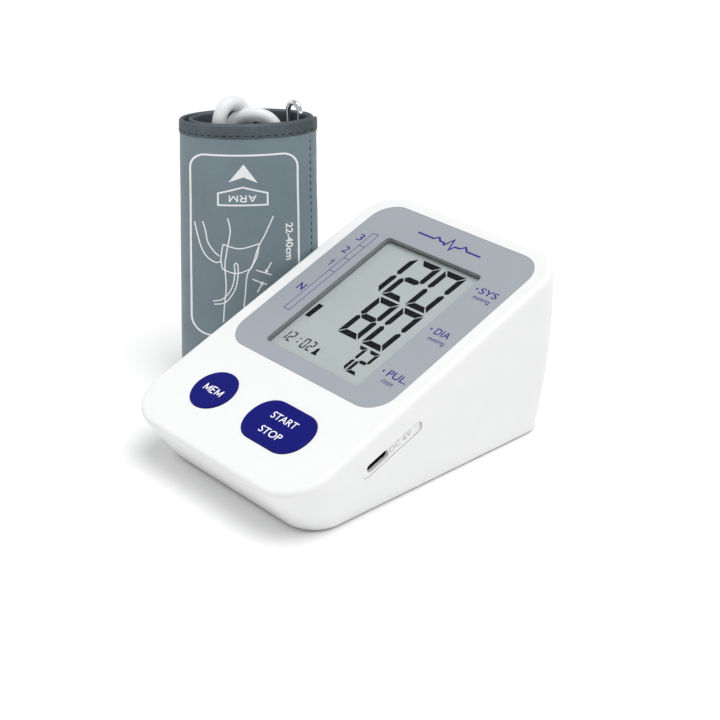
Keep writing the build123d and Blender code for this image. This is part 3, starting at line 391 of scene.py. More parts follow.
def make_materials():
    steel_x = (0.05, 1, 1)
    return {
        "housing": plastic("housing", WHITE, 0.42, grain=0.5, depth=0.008, mottle=0.008),
        "panel": plastic("panel", (0.350, 0.382, 0.418), 0.38, grain=0.3, depth=0.004, mottle=0.012,
                         Specular_IOR_Level=0.25),
        "window": clear_window(),
        "lcd": lcd_glass(),
        "reflector": metal("reflector", (0.74, 0.76, 0.75), 0.3),
        "carrier": plastic("carrier", (0.74, 0.74, 0.71), 0.5),
        "zebra": banded_rubber(),
        "board": board_green(),
        "chip": plastic("chip", (0.018, 0.018, 0.02), 0.5, grain=0.2, depth=0.01),
        "can": metal("can", (0.66, 0.67, 0.68), 0.28),
        "capacitor": plastic("capacitor", (0.02, 0.03, 0.08), 0.3, Coat_Weight=0.4),
        "blue_key": plastic("blue_key", (0.004, 0.0055, 0.165), 0.40, grain=0.4, depth=0.006, mottle=0.04,
                            Specular_IOR_Level=0.12),
        "switch": plastic("switch", (0.03, 0.03, 0.033), 0.5),
        "switch_plunger": plastic("switch_plunger", (0.68, 0.66, 0.58), 0.45),
        "socket": plastic("socket", (0.012, 0.012, 0.013), 0.45),
        "contact": metal("contact", (0.83, 0.62, 0.26), 0.25),
        "spring_steel": metal("spring_steel", (0.70, 0.70, 0.69), 0.25),
        "screw": metal("screw", (0.62, 0.62, 0.60), 0.32),
        "foot_rubber": rubber("foot_rubber", (0.075, 0.077, 0.08), 0.75),
        "battery": cell_sleeve(),
        "motor_can": metal("motor_can", (0.62, 0.62, 0.63), 0.3, steel_x),
        "magnet": rubber("magnet", (0.05, 0.05, 0.052), 0.6),
        "bush": metal("bush", (0.55, 0.36, 0.16), 0.45),
        "shaft": metal("shaft", (0.72, 0.72, 0.73), 0.18, steel_x),
        "winding": winding(),
        "pump_plastic": plastic("pump_plastic", (0.72, 0.72, 0.69), 0.45),
        "diaphragm": rubber("diaphragm", (0.03, 0.03, 0.03), 0.65),
        "foam": rubber("foam", (0.06, 0.06, 0.065), 0.95, mottle=0.15),
        "tube": rubber("tube", (0.72, 0.74, 0.73), 0.35, mottle=0.02, Subsurface_Weight=0.15),
        "jack": plastic("jack", (0.70, 0.71, 0.71), 0.42),
        "cuff_cloth": cloth("cuff_cloth", (0.190, 0.250, 0.282)),
        "lining_cloth": cloth("lining_cloth", (0.085, 0.115, 0.130)),
        # The binding's strong mottle is partly the tape's own uneven tone and partly painted highlights on
        # its wrinkles.
        "binding": cloth("binding", (0.068, 0.092, 0.105), thread=0.6, depth=0.10, mottle=0.30, sheen=0.15),
        "fastener_cloth": velour("fastener_cloth", (0.075, 0.10, 0.115)),
        "bladder_rubber": rubber("bladder_rubber", (0.16, 0.16, 0.15), 0.6),
        "ring_chrome": metal("ring_chrome", (0.78, 0.79, 0.80), 0.09, spots=0.02),
        "hose": rubber("hose", (0.80, 0.815, 0.83), 0.40, mottle=0.015),
        "plug": plastic("plug", (0.80, 0.81, 0.815), 0.38),
        "print_blue": printed("print_blue", INK_BLUE, 0.45),
        "print_white": printed("print_white", (0.95, 0.955, 0.965), 0.5),
        "print_grey": printed("print_grey", (0.50, 0.50, 0.51), 0.5),
        # Dark grey for the line along the socket recess's edge: painted shade, not a seam.
        "recess_shade_grey": printed("recess_shade_grey", (0.20, 0.20, 0.205), 0.5),
        "display_ink": printed("display_ink", (0.003, 0.0035, 0.0035), 0.6, 0.1, 0.02),
        # Dark grey for the strip on the window opening's wall: painted shade.
        "window_wall_shade": printed("window_wall_shade", (0.25, 0.262, 0.265), 0.45),
        "thread": printed("thread", (0.012, 0.016, 0.019), 0.7, 0.2),
    }


MATERIALS = make_materials()


def dress_nodes():
    """Every CAD node takes the material of its slot."""
    for subpart in frame["record"]["subparts"]:
        mesh = NODES[subpart["node"]].data
        mesh.materials.clear()
        mesh.materials.append(MATERIALS[subpart["material_slot"]])


dress_nodes()


# ---------------------------------------------------------------- mesh helpers
def add_piece(name, mesh, material, body):
    piece = bpy.data.objects.new(name, mesh)
    bpy.context.scene.collection.objects.link(piece)
    mesh.materials.clear()
    mesh.materials.append(MATERIALS[material])
    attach(piece, body)
    return piece


def finish_bmesh(work, name, smooth=False):
    bmesh.ops.recalc_face_normals(work, faces=work.faces)
    mesh = bpy.data.meshes.new(name)
    work.to_mesh(mesh)
    work.free()
    for polygon in mesh.polygons:
        polygon.use_smooth = smooth
    return mesh


def raise_print(work, name, place, thickness, longest):
    """A flat drawing in millimetres becomes a thin closed solid, laid where place says."""
    bmesh.ops.triangulate(work, faces=work.faces)
    for _ in range(6):
        long_edges = [edge for edge in work.edges if edge.calc_length() > longest]
        if not long_edges:
            break
        bmesh.ops.subdivide_edges(work, edges=long_edges, cuts=1, use_grid_fill=False)
        bmesh.ops.triangulate(work, faces=work.faces)
    lifted = bmesh.ops.extrude_face_region(work, geom=list(work.faces))
    for item in lifted["geom"]:
        if isinstance(item, bmesh.types.BMVert):
            item.co.z = thickness
    for vertex in work.verts:
        vertex.co = place(vertex.co.x, vertex.co.y, vertex.co.z)
    return finish_bmesh(work, name)


def draw(name, outlines, place, thickness=0.03, longest=1000.0):
    """Filled outlines, each a loop of points."""
    work = bmesh.new()
    for outline in outlines:
        work.faces.new([work.verts.new((x, y, 0)) for x, y in outline])
    return raise_print(work, name, place, thickness, longest)


def write(name, text, fit, place, turn=0.0, corner=(0, 0), weight=0.0, thickness=0.03, longest=1000.0):
    """Text in the built-in font as a thin solid, fitted to a width and a height from its corner."""
    data = bpy.data.curves.new(name, "FONT")
    data.body = text
    data.offset = weight
    holder = bpy.data.objects.new(name, data)
    bpy.context.scene.collection.objects.link(holder)
    bpy.context.view_layer.update()
    flat = bpy.data.meshes.new_from_object(holder.evaluated_get(bpy.context.evaluated_depsgraph_get()))
    bpy.data.objects.remove(holder)
    bpy.data.curves.remove(data)
    work = bmesh.new()
    work.from_mesh(flat)
    bpy.data.meshes.remove(flat)
    low = [min(vertex.co[axis] for vertex in work.verts) for axis in (0, 1)]
    high = [max(vertex.co[axis] for vertex in work.verts) for axis in (0, 1)]
    c, s = cos(radians(turn)), sin(radians(turn))
    for vertex in work.verts:
        x = (vertex.co.x - low[0]) / (high[0] - low[0]) * fit[0]
        y = (vertex.co.y - low[1]) / (high[1] - low[1]) * fit[1]
        vertex.co = (corner[0] + x * c - y * s, corner[1] + x * s + y * c, 0)
    bmesh.ops.remove_doubles(work, verts=work.verts, dist=0.002)
    return raise_print(work, name, place, thickness, longest)


def smooth_line(points, steps=8):
    """Points of an open Catmull-Rom curve through the given ones."""
    last = len(points) - 1
    line = []
    for index in range(last):
        near = [points[min(max(index + k, 0), last)] for k in (-1, 0, 1, 2)]
        for step in range(steps):
            t = step / steps
            weights = (
                -0.5 * t + t * t - 0.5 * t**3,
                1 - 2.5 * t * t + 1.5 * t**3,
                0.5 * t + 2 * t * t - 1.5 * t**3,
                -0.5 * t * t + 0.5 * t**3,
            )
            line.append(tuple(sum(k * p[axis] for k, p in zip(weights, near)) for axis in (0, 1)))
    line.append(points[-1])
    return line


def ribbon(line, width, closed=False):
    """Quads along a line: its two edges half a width to each side."""
    count = len(line)
    edges = []
    for index, (x, y) in enumerate(line):
        before = line[index - 1] if closed or index else line[index]
        after = line[(index + 1) % count] if closed or index < count - 1 else line[index]
        first = Vector((x - before[0], y - before[1]))
        second = Vector((after[0] - x, after[1] - y))
        first = (first if first.length else second).normalized()
        second = (second if second.length else first).normalized()
        middle = (first + second).normalized()
        reach = width / 2 / max(0.5, middle.dot(first))
        side = Vector((-middle.y, middle.x)) * reach
        edges.append(((x + side.x, y + side.y), (x - side.x, y - side.y)))
    spans = count if closed else count - 1
    return [
        (edges[i][0], edges[i][1], edges[(i + 1) % count][1], edges[(i + 1) % count][0]) for i in range(spans)
    ]


def strokes(name, lines, place, thickness=0.03, longest=1000.0):
    """Drawn lines: each is (points, width, closed)."""
    work = bmesh.new()
    for points, width, closed in lines:
        count = len(points)
        quads = ribbon(points, width, closed)
        lefts = [work.verts.new((*quad[0], 0)) for quad in quads]
        rights = [work.verts.new((*quad[1], 0)) for quad in quads]
        if closed:
            lefts.append(lefts[0])
            rights.append(rights[0])
        else:
            lefts.append(work.verts.new((*quads[-1][3], 0)))
            rights.append(work.verts.new((*quads[-1][2], 0)))
        for i in range(len(quads)):
            work.faces.new((lefts[i], rights[i], rights[i + 1], lefts[i + 1]))
    return raise_print(work, name, place, thickness, longest)


# Letters drawn as lines, for the words whose M or m the built-in font fills in:
# width over height, and the lines from the letter's lower left corner.
LETTERS = {
    "A": (0.86, [[(0, 0), (0.5, 1)], [(0.5, 1), (1, 0)], [(0.18, 0.33), (0.82, 0.33)]]),
    "E": (0.62, [[(1, 0), (0, 0), (0, 1), (1, 1)], [(0, 0.52), (0.88, 0.52)]]),
    "M": (0.95, [[(0, 0), (0, 1)], [(0, 1), (0.5, 0.12)], [(0.5, 0.12), (1, 1)], [(1, 1), (1, 0)]]),
    "R": (0.70, [[(0, 0), (0, 1), (0.62, 1), (0.95, 0.87), (0.95, 0.62), (0.62, 0.48), (0, 0.48)],
                 [(0.55, 0.48), (1, 0)]]),
    "H": (0.78, [[(0, 0), (0, 1)], [(1, 0), (1, 1)], [(0, 0.52), (1, 0.52)]]),
    "g": (0.60, [[(1, 0.72), (1, -0.08), (0.75, -0.28), (0.1, -0.24)],
                 [(1, 0.5), (0.7, 0.7), (0.25, 0.66), (0, 0.36), (0.25, 0.04), (0.7, 0), (1, 0.2)]]),
    "i": (0.05, [[(0, 0), (0, 0.7)], [(0, 0.86), (0, 1)]]),
    "m": (1.0, [[(0, 0), (0, 0.7)], [(0, 0.48), (0.15, 0.68), (0.38, 0.66), (0.5, 0.46), (0.5, 0)],
                [(0.5, 0.46), (0.65, 0.68), (0.88, 0.66), (1, 0.46), (1, 0)]]),
    "n": (0.55, [[(0, 0), (0, 0.7)], [(0, 0.46), (0.3, 0.68), (0.75, 0.66), (1, 0.44), (1, 0)]]),
    "/": (0.45, [[(0, 0), (1, 1)]]),
}
LETTER_GAP = 0.34  # over the height


def spell(name, text, fit, place, corner, weight, turned=False, thickness=0.03, longest=1000.0):
    """Drawn letters fitted to a width and a height, upside down if turned."""
    total = sum(LETTERS[letter][0] for letter in text) + LETTER_GAP * (len(text) - 1)
    sign = -1 if turned else 1
    start, lines = 0.0, []
    for letter in text:
        width, paths = LETTERS[letter]
        for path in paths:
            points = [(corner[0] + sign * (start + x * width) / total * fit[0], corner[1] + sign * y * fit[1])
                      for x, y in path]
            lines.append((points, weight, False))
        start += width + LETTER_GAP
    return strokes(name, lines, place, thickness, longest)


def rounded_box(x0, y0, x1, y1, radii, steps=8):
    """Outline with a round corner at each end: radii from the lower left, anticlockwise."""
    centres = (
        (x0 + radii[0], y0 + radii[0], 180),
        (x1 - radii[1], y0 + radii[1], 270),
        (x1 - radii[2], y1 - radii[2], 0),
        (x0 + radii[3], y1 - radii[3], 90),
    )
    outline = []
    for (x, y, start), radius in zip(centres, radii):
        for step in range(steps + 1):
            angle = radians(start + 90 * step / steps)
            outline.append((x + radius * cos(angle), y + radius * sin(angle)))
    return outline


# ---------------------------------------------------------------- legends on the panel and the keys
PRINT_GAP = 0.004  # between a face and the print on it
KEY_PROUD = 0.5


def panel_face(x, y, h):
    return on_slope(x, y, PRINT_GAP + h)


def key_face(x, y, h):
    return on_slope(x, y, KEY_PROUD + PRINT_GAP + h)


def box_line(x0, y0, x1, y1):
    return [(x0, y0), (x1, y0), (x1, y1), (x0, y1)]


SCALE_BOX = (-34.0, 71.6, -30.85, 122.6)
SCALE_DIVIDERS = (97.1, 105.5, 114.3)
SCALE_FIGURES = (
    ("3", -38.5, 116.3, 2.9, 3.9),
    ("2", -38.5, 107.8, 2.9, 3.8),
    ("N", -38.6, 82.4, 3.25, 3.8),
)
FIGURE_ONE = [(-37.7, 101.6), (-36.6, 102.5), (-36.6, 98.95)]  # its flag and stem
READINGS = (
    ("SYS", 30.9, 115.75, 8.85, 3.25, 0.008),
    ("DIA", 31.4, 90.25, 7.35, 3.25, 0.008),
    ("PUL.", 31.6, 64.5, 10.0, 3.25, 0.008),
)
UNITS = (("mmHg", 31.0, 112.5, 8.0, 1.85), ("mmHg", 31.6, 86.8, 8.0, 1.85), ("/min", 32.1, 61.0, 5.6, 2.1))
ARROW_TIPS = (117.4, 91.9, 66.1)


def make_panel_print():
    x0, y0, x1, y1 = SCALE_BOX
    lines = [(box_line(*SCALE_BOX), 0.26, True)]
    lines += [([(x0, y), (x1, y)], 0.26, False) for y in SCALE_DIVIDERS]
    add_piece("scale_print", strokes("scale_print", lines, panel_face), "print_blue", "monitor")
    mesh = strokes("scale_figure_one", [(FIGURE_ONE, 0.5, False)], panel_face)
    add_piece("scale_figure_one", mesh, "print_blue", "monitor")
    for index, (text, x, y, width, height) in enumerate(SCALE_FIGURES):
        name = f"scale_figure_{index}"
        weight = 0.02 if text == "N" else 0.0
        mesh = write(name, text, (width, height), panel_face, corner=(x, y), weight=weight)
        add_piece(name, mesh, "print_blue", "monitor")
    for index, (text, x, y, width, height, weight) in enumerate(READINGS):
        name = f"reading_print_{index}"
        mesh = write(name, text, (width, height), panel_face, corner=(x, y), weight=weight)
        add_piece(name, mesh, "print_blue", "monitor")
    for index, (text, x, y, width, height) in enumerate(UNITS):
        mesh = spell(f"unit_print_{index}", text, (width, height), panel_face, (x, y), 0.27)
        add_piece(f"unit_print_{index}", mesh, "print_blue", "monitor")
    tips = [[(28.5, y), (29.55, y + 0.75), (29.55, y - 0.75)] for y in ARROW_TIPS]
    add_piece("reading_arrows", draw("reading_arrows", tips, panel_face), "print_blue", "monitor")


# a generic pulse trace stands where a maker would put a name
PULSE = [
    (-17.0, 132.0), (-8.2, 132.0), (-6.4, 133.6), (-4.6, 132.0), (-2.6, 132.0), (-1.5, 130.9), (0.5, 135.2),
    (2.4, 129.4), (3.6, 132.0), (6.0, 132.0), (8.0, 133.9), (10.0, 132.0), (17.4, 132.0),
]
MEMORY_WORD = ("MEM", (9.5, 3.1), (-27.0, 22.7))  # text, width and height, lower left corner
KEY_WORDS = (
    ("start_word", "START", 8.7, 26.2, 13.5, 3.2, 0.004, "start_key"),
    ("stop_word", "STOP", 9.9, 18.9, 11.4, 3.2, 0.004, "start_key"),
)


def make_marks():
    mesh = strokes("pulse_print", [(PULSE, 0.85, False)], panel_face)
    add_piece("pulse_print", mesh, "print_blue", "monitor")
    text, fit, corner = MEMORY_WORD
    mesh = spell("memory_word", text, fit, key_face, corner, 0.5)
    add_piece("memory_word", mesh, "print_white", "memory_key")
    for name, text, x, y, width, height, weight, body in KEY_WORDS:
        mesh = write(name, text, (width, height), key_face, corner=(x, y), weight=weight)
        add_piece(name, mesh, "print_white", body)


# ---------------------------------------------------------------- display
CELL_DEPTH = 2.6
SEGMENTS = {
    "0": "abcdef", "1": "bc", "2": "abged", "7": "abc", "8": "abcdefg",
}
LEAN = 0.04
DIGITS = (
    # text, left and right ends, low and high ends, stroke of level and of upright segments
    ("1", -10.7, -7.2, 98.6, 121.85, 2.75, 2.6),
    ("2", -6.35, 5.65, 98.6, 121.85, 2.75, 2.6),
    ("0", 6.9, 19.15, 98.6, 121.85, 2.75, 2.6),
    ("8", -6.4, 5.8, 74.35, 97.5, 2.75, 2.6),
    ("0", 7.0, 19.3, 74.35, 97.5, 2.75, 2.6),
    ("7", 7.3, 12.75, 60.0, 73.2, 1.6, 1.5),
    ("2", 13.0, 19.4, 60.0, 73.2, 1.6, 1.5),
    ("1", -23.35, -22.5, 60.1, 65.6, 0.62, 0.6),
    ("2", -21.85, -19.1, 60.1, 65.6, 0.62, 0.6),
    ("0", -14.0, -11.2, 60.1, 65.6, 0.62, 0.6),
    ("2", -10.45, -7.7, 60.1, 65.6, 0.62, 0.6),
)


COLON_DOTS = (61.5, 63.6)
LEVEL_BAR = [(-25.45, 74.35), (-22.75, 74.35), (-22.4, 82.1), (-25.1, 82.1)]
BELL = [
    (-6.5, 60.0), (-3.75, 60.0), (-3.75, 60.7), (-4.3, 61.2), (-4.4, 62.9), (-4.9, 63.6), (-4.95, 64.0),
    (-5.3, 64.0), (-5.35, 63.6), (-5.85, 62.9), (-5.95, 61.2), (-6.5, 60.7),
]


def display_face(x, y, h):
    return on_slope(x, y, -CELL_DEPTH + PRINT_GAP + h)


def digit(text, left, right, low, high, level, upright):
    """Outlines of a seven-segment digit, leaning to the right."""
    right -= LEAN * (high - low)
    if text == "1":
        left = right - 5 * upright
    middle, gap = (low + high) / 2, 0.09 * level + 0.06

    def side(x, inward, end, toward):
        """Upright segment at x, from the middle to one end; inward points to the digit's middle."""
        inner = x + inward * upright
        return [
            (x, end - toward * gap * 1.6),
            (inner, end - toward * (level + gap)),
            (inner, middle + toward * (level / 2 + gap)),
            (x + inward * upright / 2, middle + toward * gap),
            (x, middle + toward * (level * 0.3 + gap)),
        ]

    def end_bar(end, toward):
        return [
            (left + gap * 1.6, end),
            (right - gap * 1.6, end),
            (right - upright - gap, end - toward * level),
            (left + upright + gap, end - toward * level),
        ]

    shapes = {
        "a": end_bar(high, 1),
        "d": end_bar(low, -1),
        "b": side(right, -1, high, 1),
        "c": side(right, -1, low, -1),
        "f": side(left, 1, high, 1),
        "e": side(left, 1, low, -1),
        "g": [
            (left + upright / 2 + gap, middle),
            (left + upright + gap, middle + level / 2),
            (right - upright - gap, middle + level / 2),
            (right - upright / 2 - gap, middle),
            (right - upright - gap, middle - level / 2),
            (left + upright + gap, middle - level / 2),
        ],
    }
    return [[(x + LEAN * (y - low), y) for x, y in shapes[key]] for key in SEGMENTS[text]]


def make_display():
    outlines = []
    for row in DIGITS:
        outlines += digit(*row)
    for y in COLON_DOTS:
        outlines.append([(x + LEAN * y - 2.5, y1) for x, y1 in box_line(-16.6, y, -15.95, y + 0.65)])
    outlines.append(LEVEL_BAR)
    outlines.append(BELL)
    mesh = draw("display_digits", outlines, display_face, thickness=0.05)
    add_piece("display_digits", mesh, "display_ink", "monitor")


WINDOW = (-26.5, 54.7, 26.2, 124.0)
WINDOW_RADIUS = 2.0
WINDOW_WALL = (-0.12, -1.86)


def shrink(outline_box, amount):
    x0, y0, x1, y1 = outline_box
    return x0 + amount, y0 + amount, x1 - amount, y1 - amount


def make_window_wall_shade():
    """Dark grey strip lining the wall of the window's opening: painted shade, darker than the wall's own
    shading would be.
    """
    # The strip is painted shade over the opening's wall.
    work = bmesh.new()
    rings = []
    for amount, out in ((0.02, 0), (0.02, 1), (0.16, 1), (0.16, 0)):
        outline = rounded_box(*shrink(WINDOW, amount), [WINDOW_RADIUS - amount] * 4)
        rings.append([work.verts.new(on_slope(x, y, WINDOW_WALL[out])) for x, y in outline])
    count = len(rings[0])
    for first, second in zip(rings, rings[1:] + rings[:1]):
        for i in range(count):
            work.faces.new((first[i], first[(i + 1) % count], second[(i + 1) % count], second[i]))
    mesh = finish_bmesh(work, "window_wall_shade")
    add_piece("window_wall_shade", mesh, "window_wall_shade", "monitor")


# ---------------------------------------------------------------- power socket's legend, and a line of painted shade along its recess
SOCKET_FACE = 49.35 - 0.5  # floor of the recess, from the monitor's centre plane
SOCKET_MIDDLE = (-27.9, 23.7)
RECESS_ENDS = (-5.8, 19.6)  # middles of the recess's round ends, up the slope from the socket
RECESS_EDGE = 2.7  # the painted shade line runs just inside the recess's wall


def socket_face(x, y, h):
    across = MONITOR_X + SOCKET_FACE + h + PRINT_GAP
    middle = Vector((across, MONITOR_Y + SOCKET_MIDDLE[0], SOCKET_MIDDLE[1]))
    return (middle + SLOPE_UP * x + SLOPE_OUT * y) * MM


def make_socket_print():
    mesh = write("socket_word", "DC 6V", (11.4, 2.2), socket_face, corner=(6.0, -1.1))
    add_piece("socket_word", mesh, "print_grey", "monitor")
    # A dark line along the recess's edge: painted shade where the recess wall is in shadow.
    outline = []
    for end, start, stop in ((RECESS_ENDS[0], 220, 270), (RECESS_ENDS[1], 270, 390)):
        for turned in range(start, stop + 1, 10):
            angle = radians(turned)
            outline.append((end + RECESS_EDGE * cos(angle), RECESS_EDGE * sin(angle)))
    shade_line = strokes("socket_recess_shade", [(outline, 0.15, False)], socket_face, longest=4.0)
    add_piece("socket_recess_shade", shade_line, "recess_shade_grey", "monitor")


make_panel_print()
make_marks()
make_display()
make_window_wall_shade()
make_socket_print()

# ---------------------------------------------------------------- the rolled cuff
FLAP_END, ROLL_END = -8.0, -720.0  # degrees round the roll, outermost end first
LAYER_PITCH = 1.35  # how much each turn lies inside the one before
CLOTH_THICK = 1.1
BINDING_HEIGHT = 5.7
BINDING_PROUD = 0.12
SEAM = -25.6  # stitch line of the flap's hem


def ease(value):
    value = min(max(value, 0.0), 1.0)
    return value * value * (3 - 2 * value)


def skin(turned, z):
    """Margin of the cloth's outer face at an angle, in degrees, and a height."""
    base = 0.1 - LAYER_PITCH * (FLAP_END - turned) / 360
    slack = 2.3 * ease(1 - abs(turned + 545) / 75)  # the inner turn stands away from the outer one
    place = on_roll(radians(turned), z) / (24 * MM)
    ripple = 0.16 * noise.noise(place)
    edge = min(z, CUFF_HEIGHT - z) - BINDING_HEIGHT
    pucker = 0.10 * sin(radians(turned) * 31 + 2 * sin(radians(turned) * 7)) * max(0.0, 1 - abs(edge) / 5)
    hem = 0.0
    if turned > SEAM - 3:
        near = ease((turned - SEAM + 3) / 3)
        hem = near * (0.30 + 0.16 * noise.noise(Vector((turned * 0.12, z * 0.42, 3.0))))
        hem -= 0.28 * max(0.0, 1 - abs(turned - SEAM) / 1.6)
    return base - slack + ripple + pucker + hem


def roll_solid(name, profile, start, end, step=2.0):
    """Closed solid swept round the roll; profile gives its section's (margin, z) points at an angle."""
    work = bmesh.new()
    layer = work.loops.layers.uv.new("UVMap")
    count = max(2, int(abs(end - start) / step) + 1)
    angles = [start + (end - start) * i / (count - 1) for i in range(count)]
    rings, along, travelled = [], [], 0.0
    for index, turned in enumerate(angles):
        here = on_roll(radians(turned), CUFF_HEIGHT / 2)
        if index:
            travelled += (here - before).length
        before = here
        along.append(travelled)
        rings.append([work.verts.new(on_roll(radians(turned), z, m)) for m, z in profile(turned)])
    heights = [0.0]
    section = profile(start)
    for first, second in zip(section, section[1:] + section[:1]):
        heights.append(heights[-1] + hypot(second[0] - first[0], second[1] - first[1]) * MM)
    size = len(rings[0])
    for i in range(count - 1):
        for k in range(size):
            k2 = (k + 1) % size
            face = work.faces.new((rings[i][k], rings[i][k2], rings[i + 1][k2], rings[i + 1][k]))
            places = ((along[i], heights[k]), (along[i], heights[k + 1]), (along[i + 1], heights[k + 1]),
                      (along[i + 1], heights[k]))
            for corner, uv in zip(face.loops, places):
                corner[layer].uv = uv
    for ring in (rings[0], rings[-1]):
        face = work.faces.new(ring)
        for corner, (m, z) in zip(face.loops, section):
            corner[layer].uv = (m * MM, z * MM)
    return finish_bmesh(work, name, smooth=True), travelled


CLOTH_ROWS = 44


def cloth_profile(turned):
    low, high = 1.2, CUFF_HEIGHT - 1.2
    rows = [low + (high - low) * i / CLOTH_ROWS for i in range(CLOTH_ROWS + 1)]
    outer = [(skin(turned, z), z) for z in rows]
    inner = [(skin(turned, z) - CLOTH_THICK, z) for z in reversed(rows)]
    return outer + inner


def binding_profile(low, high, closed_end):
    """Tape folded over an edge of the cloth: round at its closed end, square at the other."""

    def profile(turned):
        proud = 0.30 if turned > FLAP_END - 360 else BINDING_PROUD
        wander = 0.16 * noise.noise(Vector((turned * 0.05, low, 1.0)))
        points = []
        width = CLOTH_THICK + proud + BINDING_PROUD
        middle = (low + high) / 2
        rows, bends = 5, 6
        free, bent = (low, high) if closed_end > middle else (high, low)
        toward = 1 if bent > free else -1
        straight = bent - toward * width / 2
        for i in range(rows + 1):
            z = free + wander + (straight - free - wander) * i / rows
            swell = 0.07 * sin(pi * i / rows)
            points.append((skin(turned, z) + proud * (0.55 if i == 0 else 1.0) + swell, z))
        for i in range(1, bends):
            angle = pi * i / bends
            m = skin(turned, straight) + proud - width / 2 + width / 2 * cos(angle)
            points.append((m, straight + toward * width / 2 * sin(angle)))
        for i in range(rows + 1):
            z = straight + (free + wander - straight) * i / rows
            points.append((skin(turned, z) - CLOTH_THICK - BINDING_PROUD, z))
        return points

    return profile


PATCH_ROWS = 24


def patch_profile(low, high, inner, thick):
    """Pad on the cloth, thinner at its two edges."""

    def profile(turned):
        rows = [low + (high - low) * i / PATCH_ROWS for i in range(PATCH_ROWS + 1)]
        lift = [thick * min(1.0, 0.35 + 0.65 * min(i, PATCH_ROWS - i)) for i in range(PATCH_ROWS + 1)]
        base = [skin(turned, z) + inner for z in rows]
        side = [(b + h, z) for b, h, z in zip(base, lift, rows)]
        return side + [(b - 0.05, z) for b, z in zip(reversed(base), reversed(rows))]

    return profile


STITCH_MARGIN = {False: 0.34, True: 0.06}  # level ones lie on the tape, upright ones on the cloth


def stitches(name, places, length, radius, upright):
    """Short raised threads: each place is (angle in degrees, z)."""
    work = bmesh.new()
    sides, rows = 6, 5
    for turned, z in places:
        rings = []
        ripple = on_roll(radians(turned + 0.5), z) - on_roll(radians(turned - 0.5), z)
        degree = ripple.length / MM
        for row in range(rows):
            t = row / (rows - 1) * 2 - 1
            thick = radius * sqrt(max(0.04, 1 - t * t * 0.96))
            ring = []
            for side in range(sides):
                angle = 2 * pi * side / sides
                run, over, out = t * length / 2, thick * sin(angle), thick * cos(angle)
                round_it, up_it = (over, run) if upright else (run, over)
                t_angle, t_z = turned + round_it / degree, z + up_it
                margin = skin(turned, z) + STITCH_MARGIN[upright] + out
                ring.append(work.verts.new(on_roll(radians(t_angle), t_z, margin)))
            rings.append(ring)
        for first, second in zip(rings, rings[1:]):
            for side in range(sides):
                other = (side + 1) % sides
                work.faces.new((first[side], first[other], second[other], second[side]))
        work.faces.new(rings[0])
        work.faces.new(rings[-1])
    return finish_bmesh(work, name, smooth=True)


def angles_along(start, end, pitch, z):
    """Angles spaced a pitch apart along the roll's outer wall."""
    angles, turned = [], start
    while turned > end:
        angles.append(turned)
        step = (on_roll(radians(turned - 0.5), z) - on_roll(radians(turned + 0.5), z)).length / MM
        turned -= pitch / step
    return angles


STITCH_PITCH = 2.9
STITCH_FROM_EDGE = 1.25  # inside the tape's free edge
LOOP_PAD = (14.0, 100.0, -226.5, -313.5)  # low and high ends, first and last angle
HOOK_PAD = (24.0, 96.0, -575.0, -601.0)


def make_cuff():
    mesh, length = roll_solid("cuff_roll", cloth_profile, FLAP_END, ROLL_END)
    cloth_piece = add_piece("cuff_roll", mesh, "cuff_cloth", "cuff")
    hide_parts("cuff_shell", "cuff_lining")
    top = binding_profile(CUFF_HEIGHT - BINDING_HEIGHT, CUFF_HEIGHT - 0.1, CUFF_HEIGHT)
    mesh, _ = roll_solid("top_tape", top, FLAP_END + 0.3, ROLL_END - 0.3)
    top_tape = add_piece("top_tape", mesh, "binding", "cuff")
    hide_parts("top_binding")
    bottom = binding_profile(0.0, BINDING_HEIGHT, 0.0)
    mesh, _ = roll_solid("bottom_tape", bottom, FLAP_END + 0.3, ROLL_END - 0.3)
    bottom_tape = add_piece("bottom_tape", mesh, "binding", "cuff")
    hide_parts("bottom_binding")
    low, high, first, last = LOOP_PAD
    mesh, _ = roll_solid("loop_pad", patch_profile(low, high, 0.0, 0.6), first, last)
    loop_pad = add_piece("loop_pad", mesh, "fastener_cloth", "cuff")
    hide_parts("loop_patch")
    low, high, first, last = HOOK_PAD
    mesh, _ = roll_solid("hook_pad", patch_profile(low, high, -CLOTH_THICK - 0.55, 0.5), first, last)
    hook_pad = add_piece("hook_pad", mesh, "fastener_cloth", "cuff")
    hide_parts("hook_patch")
    high, low = CUFF_HEIGHT - BINDING_HEIGHT + STITCH_FROM_EDGE, BINDING_HEIGHT - STITCH_FROM_EDGE
    rows = [(turned, high) for turned in angles_along(FLAP_END - 2, FLAP_END - 358, STITCH_PITCH, 108)]
    rows += [(turned, low) for turned in angles_along(FLAP_END - 2, FLAP_END - 358, STITCH_PITCH, 5)]
    mesh = stitches("tape_stitches", rows, 1.7, 0.2, False)
    tape_stitches = add_piece("tape_stitches", mesh, "thread", "cuff")
    rows = [(SEAM, 8.0 + STITCH_PITCH * i) for i in range(34)]
    mesh = stitches("hem_stitches", rows, 1.8, 0.2, True)
    hem_stitches = add_piece("hem_stitches", mesh, "thread", "cuff")


make_cuff()


# ---------------------------------------------------------------- prints on the cuff's front
PRINT_SHIFT = 0.45  # the print lies a little to the right of the roll's middle


def cuff_face(q, z, h):
    """Place on the front of the roll: q runs across it, from -26 to 26, at a height."""
    q += PRINT_SHIFT
    angle = -degrees(pi / 2 + atan2(-q, sqrt(max(1e-6, CUFF_HALF[0] ** 2 - q * q))))
    return on_roll(radians(angle), z, skin(angle, z) + 0.02 + h)


FRAME_LINE = (-23.1, 22.8, 18.9, 100.7)
ARROW = ([(-2.2, 97.1), (-8.2, 89.6), (-2.3, 91.7)], [(-2.2, 97.1), (-2.3, 91.7), (3.3, 89.3)])
END_BOX = [(-12.3, 80.0), (7.1, 80.0), (7.1, 84.9), (-2.6, 87.5), (-12.3, 84.9)]
